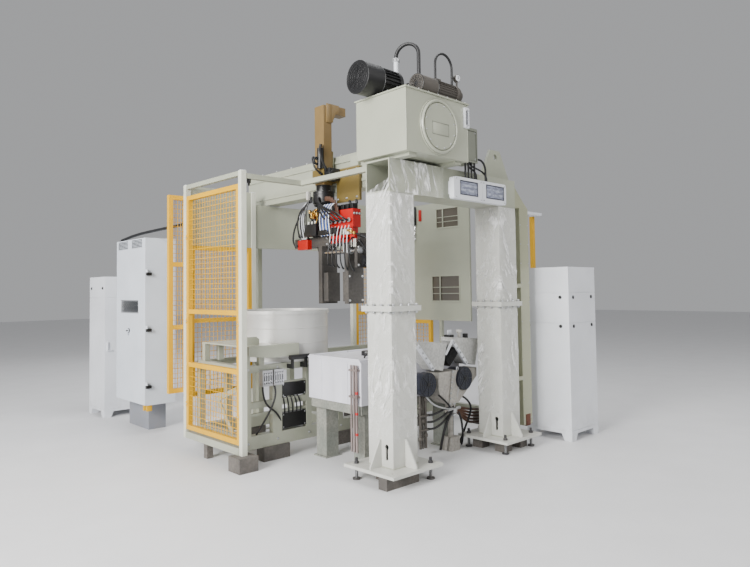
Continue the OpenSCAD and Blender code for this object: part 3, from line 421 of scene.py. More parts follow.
def hose(points, radius, sides=3):
    curve = bpy.data.curves.new("hose", "CURVE")
    curve.dimensions = "3D"
    curve.bevel_depth = radius * MM
    curve.bevel_resolution = sides
    curve.resolution_u = 5
    curve.use_fill_caps = True
    spline = curve.splines.new("NURBS")
    spline.points.add(len(points) - 1)
    for spot, place in zip(spline.points, points):
        spot.co = (*point(*place), 1)
    spline.order_u = min(4, len(points))
    spline.use_endpoint_u = True
    pick([add_object("hose", curve)])
    bpy.ops.object.convert(target="MESH")
    return bpy.context.object


def spin(turn):
    return Matrix.Rotation(turn[1], 4, "Y") @ Matrix.Rotation(turn[0], 4, "X")


def tilt(item, place, angle, axis):
    """Turn an item that was made at the origin, and move it to its place."""
    item.data.transform(Matrix.Translation(point(*place)) @ Matrix.Rotation(angle, 4, axis))
    return item


def copies(pattern, places, turn):
    made = []
    for place in places:
        twin = add_object(pattern.name, pattern.data.copy())
        twin.data.transform(Matrix.Translation(point(*place)) @ spin(turn))
        made.append(twin)
    return made


def fit(name, items, slot, material=None, body="machine"):
    """Join the items into one named piece, dress it, and let it ride on a body."""
    item = join(items)
    item.name = name
    item.data.name = name
    dress(item, material or PAINTS[slot])
    bpy.ops.object.shade_smooth_by_angle(angle=SMOOTH_ANGLE)
    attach(item, body)
    pieces.append(item)


# %% [markdown]
# Bolts are modelled once: a washer, a hexagon head and a short thread end. Its axis is +Z, and each
# copy is turned to the face it sits on.

# %% The bolt
def make_bolt(radius, height):
    washer = disc((0, 0, radius * 0.12), "Z", radius * 1.25, radius * 0.24, 0.3, 16)
    head = disc((0, 0, radius * 0.24 + height / 2), "Z", radius, height, radius * 0.12, 6)
    tip = disc((0, 0, radius * 0.3 + height), "Z", radius * 0.5, height * 0.5, 0.4, 12)
    return join([head, washer, tip])


UP = (0, 0, 0)
DOWN = (math.pi, 0, 0)
TO_FRONT = (math.pi / 2, 0, 0)
TO_BACK = (-math.pi / 2, 0, 0)
TO_LEFT = (0, -math.pi / 2, 0)
TO_RIGHT = (0, math.pi / 2, 0)
big_bolt = make_bolt(12, 11)
bolt = make_bolt(9, 8)
small_bolt = make_bolt(5.5, 4.5)


def fasten(name, pattern, spots, turn, body="machine"):
    """One piece of zinc-plated bolts, all turned the same way."""
    fit(name, copies(pattern, spots, turn), "zinc_steel", body=body)


# %% [markdown]
# Each column is made in two halves, bolted together at a flange. Sixteen bolts hold each joint, with
# their nuts below.

# %% Column joints
HALF = 136
SPAN = 1434
JOINT = 1350
FLANGE = 22
REACH = 153
COLUMNS = (0, SPAN)


def joint_spots(z):
    spots = []
    for x in COLUMNS:
        for along in (-130, -44, 44, 130):
            spots += [(x + along, -REACH, z), (x + along, REACH, z), (x - REACH, along, z),
                (x + REACH, along, z)]
    return spots


fit("joint_bolts", copies(big_bolt, joint_spots(JOINT + FLANGE), UP)
    + copies(big_bolt, joint_spots(JOINT - FLANGE), DOWN), "zinc_steel")

# %% [markdown]
# The columns and the front of the beam were still wrapped in clear film when the machine was
# photographed. The film is a thin sheet that stands off the steel by a few millimetres, gathers into
# slanting wrinkles and ends in a ragged edge.

# %% The film
# The bright lines on the film are painted highlights: where they run the film turns opaque white, standing in
# for the glints on its wrinkles.
film = Finish("clear_film_painted_glints")
across = film.axis("X") + film.axis("Y")
height = film.axis("Z")


def painted_glint_lines(lean, pitch, width):
    """Painted highlights: thin bright lines where a noise, drawn out along a slanting direction, passes its
    middle.
    """
    spot = film.add("ShaderNodeCombineXYZ", None, {0: (across + height * lean) * pitch,
        1: (height - across * lean) * (pitch * 0.16), 2: across * 0.4})
    drawn = film.add("ShaderNodeTexNoise", None, {"Vector": spot, "Scale": 1.0, "Detail": 4.0})
    near = film.add("ShaderNodeMath", {"operation": "ABSOLUTE"}, {0: drawn - 0.5})
    return film.ramp(near, 0.0, width, 1.0, 0.0)


slanted_glints = painted_glint_lines(0.75, 10.0, 0.05)
upright_glints = painted_glint_lines(0.2, 8.0, 0.035)
cloud = film.ramp(film.noise(3.5, 5.0), 0.42, 0.62)
patch = film.ramp(film.noise(4.0, 3.0, (1.0, 1.0, 0.6)), 0.44, 0.56)
lines = (slanted_glints * cloud + upright_glints * (1.0 - cloud)) * patch
haze = film.ramp(film.noise(16.0, 6.0, (1.0, 1.0, 0.5)), 0.5, 0.66)
# Alpha rises along the lines as painted highlights; the haze and the faint rest are the film itself.
film.put(Base_Color=(0.98, 0.98, 0.97, 1), Roughness=0.1, Alpha=lines * 0.9 + haze * 0.2 + 0.05,
    Coat_Weight=1.0, Coat_Roughness=0.05)
film.put(Normal=film.add("ShaderNodeBump", None,
    {"Height": lines * 0.45 + film.noise(9.0, 5.0, (1.0, 1.0, 0.4)), "Distance": 0.022, "Strength": 0.85}))
STEP = 14


def wrinkle(place):
    along = place.x + place.y
    wide = noise.noise(Vector((along * 4, place.z * 2.2, 3.7)))
    slant = noise.noise(Vector((along * 13 + place.z * 9, (place.z - along) * 2.4, 8.1)))
    return 3.0 + 5.0 * abs(wide) + 9.0 * (0.5 - abs(slant)) ** 2 * 4


def film_sheet(name, route, z_low, z_high, closed, rise=0):
    """A sheet along a route in plan, given as (x, y, nx, ny), between two heights. Its top may rise."""
    rows = max(2, round((z_high - z_low) / STEP))
    verts, faces = [], []
    for row in range(rows + 1):
        t = row / rows
        for k, (x, y, nx, ny) in enumerate(route):
            top = z_high + rise * k / len(route)
            ragged = 16 * noise.noise(Vector((x * 0.02, y * 0.02, row // rows))) if row in (0, rows) else 0
            z = z_low + (top - z_low) * t + (ragged if row == 0 else -abs(ragged))
            away = wrinkle(point(x, y, z))
            verts.append(point(x + nx * away, y + ny * away, z))
    n = len(route)
    for row in range(rows):
        for k in range(n if closed else n - 1):
            a, b = row * n + k, row * n + (k + 1) % n
            faces.append((a, b, b + n, a + n))
    mesh = bpy.data.meshes.new(name)
    mesh.from_pydata(verts, [], faces)
    mesh.update()
    item = add_object(name, mesh)
    fit(name, [item], "screen_glass", film.material)
    for face in item.data.polygons:
        face.use_smooth = True
    length = sum((Vector(route[k][:2]) - Vector(route[(k + 1) % n][:2])).length
        for k in range(n if closed else n - 1))
    length * MM


def around(x, half):
    """A square route with rounded corners, as (x, y, nx, ny), counter-clockwise."""
    corner = 10
    route = []
    for side in range(4):
        turn = Matrix.Rotation(side * math.pi / 2, 2)
        count = round(2 * (half - corner) / STEP)
        for k in range(count + 1):
            spot = turn @ Vector((half, -half + corner + 2 * (half - corner) * k / count))
            out = turn @ Vector((1, 0))
            route.append((x + spot.x, spot.y, out.x, out.y))
    return route


for label, x in (("left", 0), ("right", SPAN)):
    film_sheet("film_lower_" + label, around(x, HALF), 345, 1322, True)
    film_sheet("film_upper_" + label, around(x, HALF), 1378, 2255, True)
beam_route = [(x, -HALF, 0, -1) for x in range(-134, 500, STEP)]
film_sheet("film_beam_front", beam_route, 2262, 2532, False)
flap_route = [(-HALF, y, -1, 0) for y in range(128, -140, -STEP)]
film_sheet("film_beam_flap", flap_route, 2232, 2285, False, 95)

# %% [markdown]
# The guards are welded mesh. The CAD source keeps every second wire, and here the wires in between and
# the clamps on the posts are added.

# %% Guard wires
WIRE = 2.4


def wire_grid(corner, along, width, low, high):
    """Wires of one field of mesh from a corner, along a unit direction in plan."""
    made = []
    nx, nz = math.floor(width / 100), math.floor((high - low) / 100)
    dx, dz = width / (nx + 1), (high - low) / (nz + 1)
    for k in range(nx + 1):
        spot = Vector(corner) + along * (k + 0.5) * dx
        made.append(disc((spot.x, spot.y, (low + high) / 2), "Z", WIRE, high - low, 0.2, 6))
    axis = "X" if abs(along.x) > 0.5 else "Y"
    for k in range(nz + 1):
        spot = Vector(corner) + along * width / 2
        made.append(disc((spot.x, spot.y, low + (k + 0.5) * dz), axis, WIRE, width, 0.2, 6))
    return made


TUBE = 42
POST = 50
GAP = 0.3
PANEL_FOOT = 205
LEFT, RIGHT, REAR, FRONT = -716, 2150, 2060, 1060
along_y, along_x = Vector((0, 1)), Vector((1, 0))
left_wide = REAR - FRONT - POST - 2 * GAP
left_corner = (LEFT, FRONT + POST / 2 + GAP + TUBE)
fields = wire_grid(left_corner, along_y, left_wide - 2 * TUBE, PANEL_FOOT + TUBE, PANEL_FOOT + 590)
fields += wire_grid(left_corner, along_y, left_wide - 2 * TUBE, PANEL_FOOT + 1090 + TUBE, 2420 - TUBE)
fit("left_panel_wires", fields, "safety_yellow")
rear_wide = 20 - LEFT - POST - 2 * GAP
fields = []
for x in (LEFT, SPAN - 20):
    corner = (x + POST / 2 + GAP + TUBE, REAR)
    fields += wire_grid(corner, along_x, rear_wide - 2 * TUBE, 500 + TUBE, 1200)
    fields += wire_grid(corner, along_x, rear_wide - 2 * TUBE, 1200 + TUBE, 1950 - TUBE)
corner = (LEFT - 172 + TUBE, REAR + POST / 2 + GAP + TUBE / 2)
wing_wide = 172 + POST / 2 - 2 * TUBE
for low, high in ((545 + TUBE, 1145), (1145 + TUBE, 1745), (1745 + TUBE, 2430 - TUBE)):
    fields += wire_grid(corner, along_x, wing_wide, low, high)
fit("rear_panel_wires", fields, "safety_yellow")
right_corner = (RIGHT, REAR - POST / 2 - GAP - 576 + TUBE)
fields = wire_grid(right_corner, along_y, 576 - 2 * TUBE, 185.3 + TUBE, 635)
fields += wire_grid(right_corner, along_y, 576 - 2 * TUBE, 635 + TUBE, 1125 - TUBE)
fit("right_panel_wires", fields, "safety_yellow")

# %% Guard clamps and caps
spots = [(LEFT - 27, y, z + 23) for z in (420, 1200, 2000) for y in (FRONT + POST / 2 + 14,
    REAR - POST / 2 - 14)]
clamps = [block((x, y - 18, z - 23), (x + 7, y + 18, z + 23), 1.5) for x, y, z in spots]
fit("panel_clamps", clamps, "safety_yellow")
fasten("panel_clamp_bolts", small_bolt, spots, TO_LEFT)
posts = ((LEFT, FRONT), (LEFT, REAR), (RIGHT, 710), (RIGHT, REAR), (20, REAR), (SPAN - 20, REAR))
caps = [block((x - 24, y - 24, 2530), (x + 24, y + 24, 2534), 1.5) for x, y in posts]
fit("post_caps", caps, "white_paint")

# %% [markdown]
# The console has two screens in dark rounded frames. The pictures on them are only soft light and plain
# bars, with no words. Cables and two hoses enter its top through glands.

# %% Console
PANEL_FRONT = -243
display = Finish("display_light")
rows = display.ramp(display.add("ShaderNodeTexWave", {"bands_direction": "Z"}, {"Vector": display.place,
    "Scale": 8.0, "Distortion": 1.5, "Detail": 2.0}), 0.4, 0.6)
cells = display.ramp(display.noise(34.0, 1.0, (0.6, 1, 1.4)), 0.45, 0.56)
tone = display.mix(rows * 0.5, (0.24, 0.26, 0.34, 1), (0.46, 0.49, 0.58, 1))
tone = display.mix(cells * 0.45, tone, (0.07, 0.075, 0.12, 1))
display.put(Base_Color=tone, Roughness=0.12, Coat_Weight=1.0, Coat_Roughness=0.03, Emission_Color=tone,
    Emission_Strength=0.12)
bezels, pictures = [], []
for x0, x1 in ((601, 847), (966, 1236)):
    z0, z1 = 2296, 2420
    for low, high in bars((x0, z0), (x1, z1), 9):
        bezels.append(block((low[0], PANEL_FRONT - 3, low[1]), (high[0], PANEL_FRONT + 8, high[1]), 2))
    pictures.append(block((x0 + 8, PANEL_FRONT + 1.4, z0 + 8), (x1 - 8, PANEL_FRONT + 4, z1 - 8), 0.6))
fit("screen_bezels", bezels, "motor_black", NAVY)
fit("screen_pictures", pictures, "screen_glass", display.material)
corners = [(x, PANEL_FRONT, z) for x in (548, 893, 933, 1243) for z in (2274, 2428)]
fasten("console_screws", small_bolt, corners, TO_FRONT)
glands = [disc((x, -225, 2450), "Z", 14, 14, 1, 6) for x in (700.3, 742.3, 784.3, 826.3, 986.6)]
glands += [disc((x, -205, 2450), "Z", 11, 14, 1, 6) for x in (880, 1030)]
fit("console_glands", glands, "motor_black")
loops = [hose([(750 + 25 * k, -215, 2592), (752 + 25 * k, -215, 2500 + 30 * k), (870 + 155 * k, -212, 2580),
    (880 + 150 * k, -205, 2452)], 8) for k in range(2)]
fit("console_hoses", loops, "black_rubber")

# %% [markdown]
# The tank carries its pumps on the lid. The round cover has a ring of bolts and a bare plate, the lid
# has a row of screws, and the motors get the grille of their fans.

# %% Tank
TANK_FRONT, TANK_LEFT, TANK_RIGHT = -324, -136, 614
COVER = (239, TANK_FRONT - 10.3, 2793)
spots = [(COVER[0] + 174 * math.cos(a), COVER[1] - 11.7, COVER[2] + 174 * math.sin(a))
    for a in (math.radians(15 + 30 * k) for k in range(12))]
fasten("cover_bolts", small_bolt, spots, TO_FRONT)
fit("cover_rim", [ring((COVER[0], TANK_FRONT - 14, COVER[2]), "Y", 205, 13, 72),
    ring((COVER[0], TANK_FRONT - 10, COVER[2]), "Y", 224, 3, 64)], "cream_paint")
x0, x1, z0, z1, y = COVER[0] - 100, COVER[0] + 100, COVER[2] - 72, COVER[2] + 30, TANK_FRONT - 22
outline = [block((low[0], y - 2.5, low[1]), (high[0], y + 1, high[1]), 0.6) for low,
    high in bars((x0, z0), (x1, z1), 6)]
fit("plate_outline", outline, "cream_paint", SPECIAL["tank_switch_box"])
fit("bare_plate", [block((x0 + 3, y - 1.2, z0 + 3), (x1 - 3, y + 1, z1 - 3), 0.4)], "cream_paint")
edge_screws = [(x, TANK_FRONT - 5, 3052) for x in range(-110, 600, 115)]
edge_screws += [(x, 238 + 4, 3052) for x in range(-110, 600, 115)]
edge_screws += [(x, y, 3052) for x in (TANK_LEFT - 5, TANK_RIGHT + 5) for y in (-240, -130, -20, 90, 180)]
fasten("lid_screws", small_bolt, edge_screws, UP)
seams = [block((TANK_LEFT - 2, TANK_FRONT - 2, 2556), (TANK_LEFT + 5, TANK_FRONT + 5, 3038), 2.5),
    block((TANK_RIGHT - 5, TANK_FRONT - 2, 2556), (TANK_RIGHT + 2, TANK_FRONT + 5, 3038), 2.5),
    block((TANK_LEFT - 2, 232, 2556), (TANK_LEFT + 5, 240, 3038), 2.5)]
fit("tank_seams", seams, "cream_paint")
glass = [disc((580, TANK_FRONT - 14, 2925), "Z", 9, 132, 2, 20)]
fit("gauge_glass", glass, "screen_glass")
fit("gauge_ends", [disc((580, TANK_FRONT - 14, z), "Z", 12, 14, 1.5, 12) for z in (2860, 2990)], "zinc_steel")
BOX_FRONT = -240
lid = block((632, BOX_FRONT + 2, 2610), (838, BOX_FRONT + 8, 2864), 3)
fit("terminal_lid", [lid], "white_paint", SPECIAL["tank_switch_box"])
fasten("terminal_screws", small_bolt, [(x, BOX_FRONT + 2, z) for x in (645, 825) for z in (2622, 2852)],
    TO_FRONT)
fit("filler_cap", [disc((500, 150, 3070), "Z", 42, 36, 4, 24), disc((500, 150, 3054), "Z", 56, 6, 1, 24),
    disc((500, 150, 3094), "Z", 16, 16, 3, 12)], "motor_black")


# %% Fan grilles
def fan_grille(x, y, z, radius):
    made = [ring((x - 1, y, z), "X", radius * f, 2.2, 40) for f in (0.28, 0.46, 0.64, 0.82)]
    for k in range(6):
        spoke = disc((0, 0, 0), "Z", 2.2, radius * 1.7, 0.4, 6)
        made.append(tilt(spoke, (x - 2, y, z), k * math.pi / 6, "X"))
    made.append(disc((x - 1, y, z), "X", radius * 0.16, 6, 1.5, 20))
    return made


LARGE_FAN = (64, 3182.3)
SMALL_FAN = (-235, 3132.3)
fit("large_fan_grille", fan_grille(-277, *LARGE_FAN, 130), "motor_black")
fit("small_fan_grille", fan_grille(79, *SMALL_FAN, 80), "motor_black")
rims = [ring((x, *LARGE_FAN), "X", 130, 4, 48) for x in (-275, -90)]
rims += [ring((x, *SMALL_FAN), "X", 80, 3, 48) for x in (81, 270)]
fit("cowl_rims", rims, "motor_black")
fittings = [disc((163, 64, 3188 + k), "Z", r, 26, 2, 6) for k, r in ((20, 34), (232, 32))]
fittings += [disc((231, -130, 3072), "Z", 28, 40, 2, 6)]
fit("pipe_nuts", fittings, "zinc_steel")
fit("hose_sleeve", [disc((231, -130, 3180), "Z", 20, 120, 2, 20)], "white_paint")
face = disc((591, -251, 3287), "Y", 28, 3, 1, 28)
fit("gauge_face", [face], "white_paint")
fit("gauge_needle", [block((589.5, -254, 3284), (592.5, -252.6, 3306), 0.5), disc((591, -253.6, 3287), "Y", 4,
    2, 0.4, 12)], "motor_black")

# %% [markdown]
# Hydraulic hoses run between the pumps and down behind the tank. Each is a smooth curve with crimped
# ends.


# %% Tank hoses
def crimped(points, radius):
    """A hose with a crimped sleeve at each end."""
    made = [hose(points, radius)]
    for end, beyond in ((points[0], points[1]), (points[-1], points[-2])):
        away = (Vector(beyond) - Vector(end)).normalized()
        sleeve = disc((0, 0, 0), "Z", radius * 1.35, radius * 4, 0.8, 12)
        turn = away.to_track_quat("Z", "Y").to_matrix().to_4x4()
        sleeve.data.transform(Matrix.Translation(point(*(Vector(end) + away * radius * 2))) @ turn)
        made.append(sleeve)
    return made


lines = crimped([(300, 64, 3210), (360, 64, 3330), (430, 20, 3330), (470, -60, 3200), (480, -90, 3054)], 13)
lines += crimped([(612, -235, 3100), (690, -235, 3070), (700, -150, 2960), (690, 0, 2860), (613, 60, 2800)],
    11)
lines += crimped([(340, 90, 3150), (420, 170, 3150), (470, 235, 3050), (470, 262, 2900), (470, 250, 2700),
    (420, 239, 2640)], 12)
fit("tank_hoses", lines, "black_rubber")

# %% [markdown]
# The portal gets its weld beads, the bolts of the girder, the brackets, screws and rusty foot of the
# cable trunk, and the threads of the levelling screws.

# %% Portal
beads = []
for x in COLUMNS:
    for s in (-1, 1):
        beads.append(block((x - HALF, s * (HALF + 3) - 3, 2263), (x + HALF, s * (HALF + 3) + 1, 2270), 2))
        beads.append(disc((x, s * (HALF + 2), 126), "X", 5, 2 * HALF, 1, 10))
        beads.append(disc((x + s * (HALF + 2), 0, 126), "Y", 5, 2 * HALF, 1, 10))
fit("weld_beads", beads, "cream_paint")
fit("girder_bolts", copies(bolt, [(190, y, z) for y in (170, 215) for z in (2430, 2520)], TO_LEFT)
    + copies(bolt, [(190, y, 2742) for y in range(300, 2380, 260)], UP), "zinc_steel")
strap = [block((1568, -90, z), (1714, -84, z + 40), 1) for z in (600, 1500)]
strap += [block((1570, -86, z + 6), (1715, 30, z + 34), 1) for z in (600, 1500)]
fit("trunk_brackets", strap, "cream_paint", SPECIAL["cable_duct"])
cover_screws = [(x, -86, z) for x in (1724, 1855) for z in range(220, 2240, 190)]
fasten("trunk_screws", small_bolt, cover_screws, TO_FRONT)
fit("trunk_foot", [block((1752, -92, 150), (1828, -60, 262), 3)], "red_paint", RUST)
screws = [(x + sx * 207.5, sy * 207.5) for x in COLUMNS for sx in (-1, 1) for sy in (-1, 1)][1:]
threads = [ring((x, y, z), "Z", 12, 1.4, 16) for x, y in screws for z in range(18, 98, 6)]
fit("screw_threads", threads, "zinc_steel")

# %% [markdown]
# The switch cabinets get what the hand touches, latches and a lock, and also the window of the meters,
# the vents of the door and the glands of the cables.

# %% Cabinets
DOOR = -736
LOCK = (3400, 1082)
VENTS = (3059, 3436)
frame_parts = []
y0, y1, z0, z1 = 3153, 3610, 1286, 1409
for low, high in (((y0 - 10, z0 - 10), (y1 + 10, z0)), ((y0 - 10, z1), (y1 + 10, z1 + 10)),
        ((y0 - 10, z0), (y0, z1)), ((y1, z0), (y1 + 10, z1))):
    frame_parts.append(block((DOOR - 3, low[0], low[1]), (DOOR + 3, high[0], high[1]), 1))
fit("meter_frame", frame_parts, "zinc_steel", body="cabinet_door")
fit("meter_glass", [block((DOOR + 1, y0 + 2, z0 + 2), (DOOR + 3.6, y1 - 2, z1 - 2), 0.5)], "screen_glass",
    body="cabinet_door")
fit("door_lock", [disc((DOOR - 4, *LOCK), "X", 26, 6, 1.5, 24), disc((DOOR - 20, *LOCK), "X", 9, 24, 2, 16)],
    "motor_black", body="cabinet_door")
# The black strips in the vent slots and the black panel over each vent are painted shade, the dark of the
# louvres' shadow, behind the white ribs.
slots = [block((DOOR + 0.6, y + 2, 1993.6 + 14 * k), (DOOR + 4.6, y + 265, 1998.4 + 14 * k), 0.5)
    for y in VENTS for k in range(6)]
slots += [block((DOOR - 1.5, y, 1988), (DOOR + 1, y + 267, 2079), 0.5) for y in VENTS]
fit("vent_painted_shade", slots, "motor_black", body="cabinet_door")
ribs = [block((DOOR - 4, y, 1990 + 15 * k), (DOOR - 1, y + 267, 1996 + 15 * k), 1) for y in VENTS
    for k in range(6)]
fit("vent_ribs", ribs, "cabinet_paint", body="cabinet_door")


def latch(x, y, z, turn):
    """A quarter-turn latch: a dark round base with a bar across."""
    base = disc((0, 0, 3), "Z", 17, 6, 1.5, 24)
    bar = block((-4, -15, 5), (4, 15, 11), 1.5)
    item = join([base, bar])
    item.data.transform(Matrix.Translation(point(x, y, z)) @ spin(turn))
    return item


side_latches = [latch(2027, y, z, TO_LEFT) for y in (-330, 30) for z in (1400, 1115)]
side_latches += [latch(x, -421, z, TO_FRONT) for x in (2110, 2470) for z in (1400, 1115)]
far_latches = [latch(-711, y, 1560, TO_LEFT) for y in (4260, 4630)]
fit("side_cabinet_latches", side_latches, "motor_black")
fit("far_cabinet_latches", far_latches, "motor_black")
conduit_glands = [disc((-700, 3700 + 34 * k, 2093), "Z", 15, 18, 1.5, 12) for k in (-1, 0, 1)]
fit("cabinet_glands", conduit_glands, "motor_black")

bars = [block((-712, y, 236), (-652, y + 22, 299), 3) for y in (2984, 3060)]
fit("stand_bars", bars, "safety_yellow")

# %% [markdown]
# Step by step the hanging manipulator gets its fittings. Everything that goes up and down with the lift
# column rides on the body called lift, and the hoses stay on one body each.

# %% Lift column and carriage
rack = [block((62, 1019, z), (110, 1027, z + 9), 1) for z in range(2975, 3140, 18)]
fit("lift_rack", rack, "motor_black", body="lift")
spots = [(150, y, z) for y in (560, 700, 820) for z in (2330, 2580)] + [(150, 1035, z) for z in (2515, 2590)]
fasten("carriage_bolts", bolt, spots, TO_LEFT, "carriage")
shoes = [block((152, 920, 2690), (177, 1040, 2734), 3)]
fit("rail_shoes", shoes, "motor_black", body="carriage")
gearbox = [block((24, 790, 2500), (148, 866, 2612), 6), disc((60, 780, 2556), "Y", 34, 30, 3, 24)]
fit("lift_gearbox", gearbox, "motor_black", body="carriage")
lines = crimped([(6, 900, 2800), (6, 890, 2836), (-40, 850, 2820), (-52, 830, 2700), (24, 830, 2590)], 10)
lines += crimped([(125, 545, 2300), (125, 520, 2180), (60, 560, 2140), (125, 600, 2220), (130, 640, 2300)], 9)
lines += crimped([(10, 920, 2690), (-40, 960, 2740), (-60, 930, 2700), (-60, 910, 2600), (22, 890, 2560)], 9)
fit("carriage_hoses", lines, "black_rubber", body="carriage")

# %% Brown brackets
web = []
for k in range(7):
    a = math.radians(15 * k)
    y, z = 952.5 - 118 - 150 * math.sin(a), 2180 + 150 * math.cos(a)
    web.append(block((14, y - 22, z - 22), (30, y + 22, z + 22), 8))
fit("carriage_web", web, "tan_paint", BROWN, "lift")
web = [block((132 + 12 * k, 875, 3160 - 100 * (1 - k / 6) ** 2), (145 + 12 * k, 886.5, 3228), 0.5)
    for k in range(7)]
web.append(block((70, 875, 3050), (133, 886.5, 3228), 1))
fit("bracket_gusset", web, "tan_paint", body="lift")
fit("bracket_end", [block((300, 912, 3160), (326, 992, 3234), 4)], "tan_paint", BROWN, "lift")

# %% Drive and head
AXLE = (86.5, 952.5)
bands = [ring((*AXLE, z), "Z", 100, 2, 48) for z in (2304, 2330, 2380, 2405)]
bands += [ring((*AXLE, z), "Z", 66, 3, 48) for z in (2040, 2120, 2200)]
bands += [ring((*AXLE, 2285), "Z", 84, 8, 48)]
fit("drive_bands", bands, "motor_black", body="lift")
spots = [(AXLE[0] + 80 * math.cos(a), AXLE[1] + 80 * math.sin(a), 2410) for a in (k * math.pi / 4
    for k in range(8))]
fasten("drive_bolts", small_bolt, spots, UP, "lift")
lines = []
for k in range(5):
    y = 530 + 60 * k
    lines += crimped([(12, y, 2110), (-40, y, 2110), (-60 - 6 * k, y + 40, 2180),
        (-50, 840 + 8 * k, 2250 + 9 * k), (-14, 900, 2312 + 9 * k)], 7)
for k in range(6):
    y = 440 + 56 * k
    lines += crimped([(-4, y, 1950), (-46 - 3 * (k % 3), y, 1940), (-60, y + 10, 1850 - 24 * k),
        (-40, y + 20, 1720), (0, y + 30 if k else 440, 1660 + 12 * k)], 6)
for k in range(3):
    lines += crimped([(60 + 20 * k, 812, 2150), (60 + 20 * k, 860, 2190), (40, 1080, 2210 - 20 * k),
        (30, 1130, 2080), (26, 1110, 1975)], 7)
for k in range(4):
    y = 1040 + 42 * k
    lines += crimped([(-14, 1000, 2360 - 14 * k), (-70, y, 2300 - 10 * k), (-64 - 5 * k, y + 8, 2120),
        (-30, y + 4, 1990)], 7)
lines += crimped([(90, 230, 1792), (90, 220, 1850), (60, 300, 1960), (30, 440, 1975)], 9)
lines += crimped([(90, 370, 1792), (80, 370, 1850), (40, 380, 1900), (20, 420, 1930)], 9)
lines += crimped([(-20, 1216, 1925), (-60, 1260, 1900), (-50, 1290, 2050), (60, 1270, 2232)], 8)
fit("head_hoses", lines, "black_rubber", body="lift")
pale, blue = [], []
for k in range(6):
    y = 490 + 46 * k
    pale += [hose([(-10, y, 2060), (-40, y, 1990), (-44, y, 1900), (-30, y + 6, 1820 + 10 * k)], 3.5, 2)]
for k in range(5):
    y = 1080 + 15 * k
    pale += [hose([(-20, y - 60, 2310), (-66 + 3 * k, y, 2270), (-72 + 3 * k, y + 6 * k, 2120),
        (-24, y, 1975)], 4, 2)]
for k in range(7):
    y = 728 + 21 * k
    route = [(-8, y - 40, 2270), (-52 + 4 * (k % 3), y, 2240), (-56 + 5 * (k % 2), y + 4, 2120),
        (-30, y - 10, 1985)]
    (blue if k % 2 else pale).extend([hose(route, 5, 2)])
fit("air_lines", pale, "white_paint", body="lift")
fit("blue_lines", blue, "black_rubber", BLUE, "lift")
side_box = [block((-52, 905, 1994), (-4, 1074, 2106), 5), block((-44, 760, 1992), (-2, 880, 2040), 4)]
side_box += [block((-40, 640 + 44 * k, 1994), (-8, 672 + 44 * k, 2052), 3) for k in range(3)]
fit("side_valves", side_box, "motor_black", body="lift")
brass = [disc((-38, y, z), axis, r, long, 2, sides) for y, z, axis, r, long,
    sides in ((900, 2190, "Z", 17, 40, 6), (938, 2214, "Y", 15, 44, 6), (975, 2186, "Z", 17, 52, 6),
    (940, 2168, "Y", 20, 26, 20), (1004, 2222, "Z", 12, 34, 6), (912, 2232, "Y", 11, 36, 6),
    (432, 1998, "Z", 14, 34, 6), (396, 1984, "Z", 12, 28, 6), (470, 2010, "X", 12, 30, 6))]
brass += [disc((-22, 938, 2190), "X", 13, 34, 2, 12),
    hose([(-38, 900, 2170), (-44, 880, 2130), (-40, 930, 2100)], 5, 2)]
fit("brass_fittings", brass, "zinc_steel", BRASS, "lift")
plugs = [disc((-30, y, 2118), "Z", 11, 26, 3, 12) for y in (930, 980, 1030)]
plugs += [disc((-24, y, 2002), "Z", 9, 46, 2, 10) for y in (452, 482, 512, 542)]
plugs += [disc((-14, y, 1902), "Z", 7, 70, 2, 10) for y in (404, 424, 456)]
plugs += [block((-60, 1010, 2330), (-16, 1034, 2412), 8)]
fit("plugs", plugs, "white_paint", PLUG, "lift")
nuts = [disc((20, 530 + 60 * k, 2110), "X", 22, 12, 2, 6) for k in range(5)]
nuts += [disc((60 + 30 * k, 500, 2170), "Y", 12, 14, 2, 6) for k in range(3)]
fit("manifold_nuts", nuts, "zinc_steel", body="lift")
solenoids = [block((62, 520 + 62 * k, 2212), (112, 560 + 62 * k, 2262), 3) for k in range(5)]
fit("solenoids", solenoids, "motor_black", body="lift")
spots = [(x, 930, z) for x in (20, 160) for z in (1420, 1600, 1860)]
spots_front = [(x, 400, z) for x in (14, 166) for z in (1712, 1866)]
fit("head_bolts", copies(bolt, spots, TO_BACK) + copies(bolt, spots_front, TO_FRONT)
    + copies(bolt, [(30, y, z) for y in (440, 640, 840, 1240) for z in (1918, 1972)], TO_LEFT), "zinc_steel",
    body="lift")
cap = [disc((90, 205, 1750), "Y", 46, 22, 3, 32), disc((90, 370, 1750), "Y", 46, 16, 3, 32)]
cap += [disc((90 + sx * 32, 290, 1750 + sz * 32), "Y", 5, 180, 0.8, 10) for sx in (-1, 1) for sz in (-1, 1)]
fit("cylinder_ends", cap, "motor_black", body="lift")
bushes = [disc((90 + s * 58, y, 1840), "Y", 30, 10, 2, 24) for s in (-1, 1) for y in (395, 935)]
fit("bar_nuts", bushes, "zinc_steel", body="lift")
bushes = [disc((90 + s * 58, 516, 1840), "Y", 30, 8, 2, 24) for s in (-1, 1)]
fit("platen_bushes", bushes, "zinc_steel", body="moving_jaw")
die_ribs = [block((16, 572, z), (164, 612, z + 10), 2) for z in (1410, 1500, 1590)]
fit("moving_die_ribs", die_ribs, "rough_casting", SPECIAL["moving_platen"], "moving_jaw")
fasten("platen_bolts", bolt, [(x, 520, z) for x in (16, 164) for z in (1410, 1620, 1860)], TO_FRONT,
    "moving_jaw")

# %% [markdown]
# The furnace is a lagged box with a lid. The melt group in front of it has two tilted inductor
# housings, dark cooling fins between them, fans, pipes and cables.

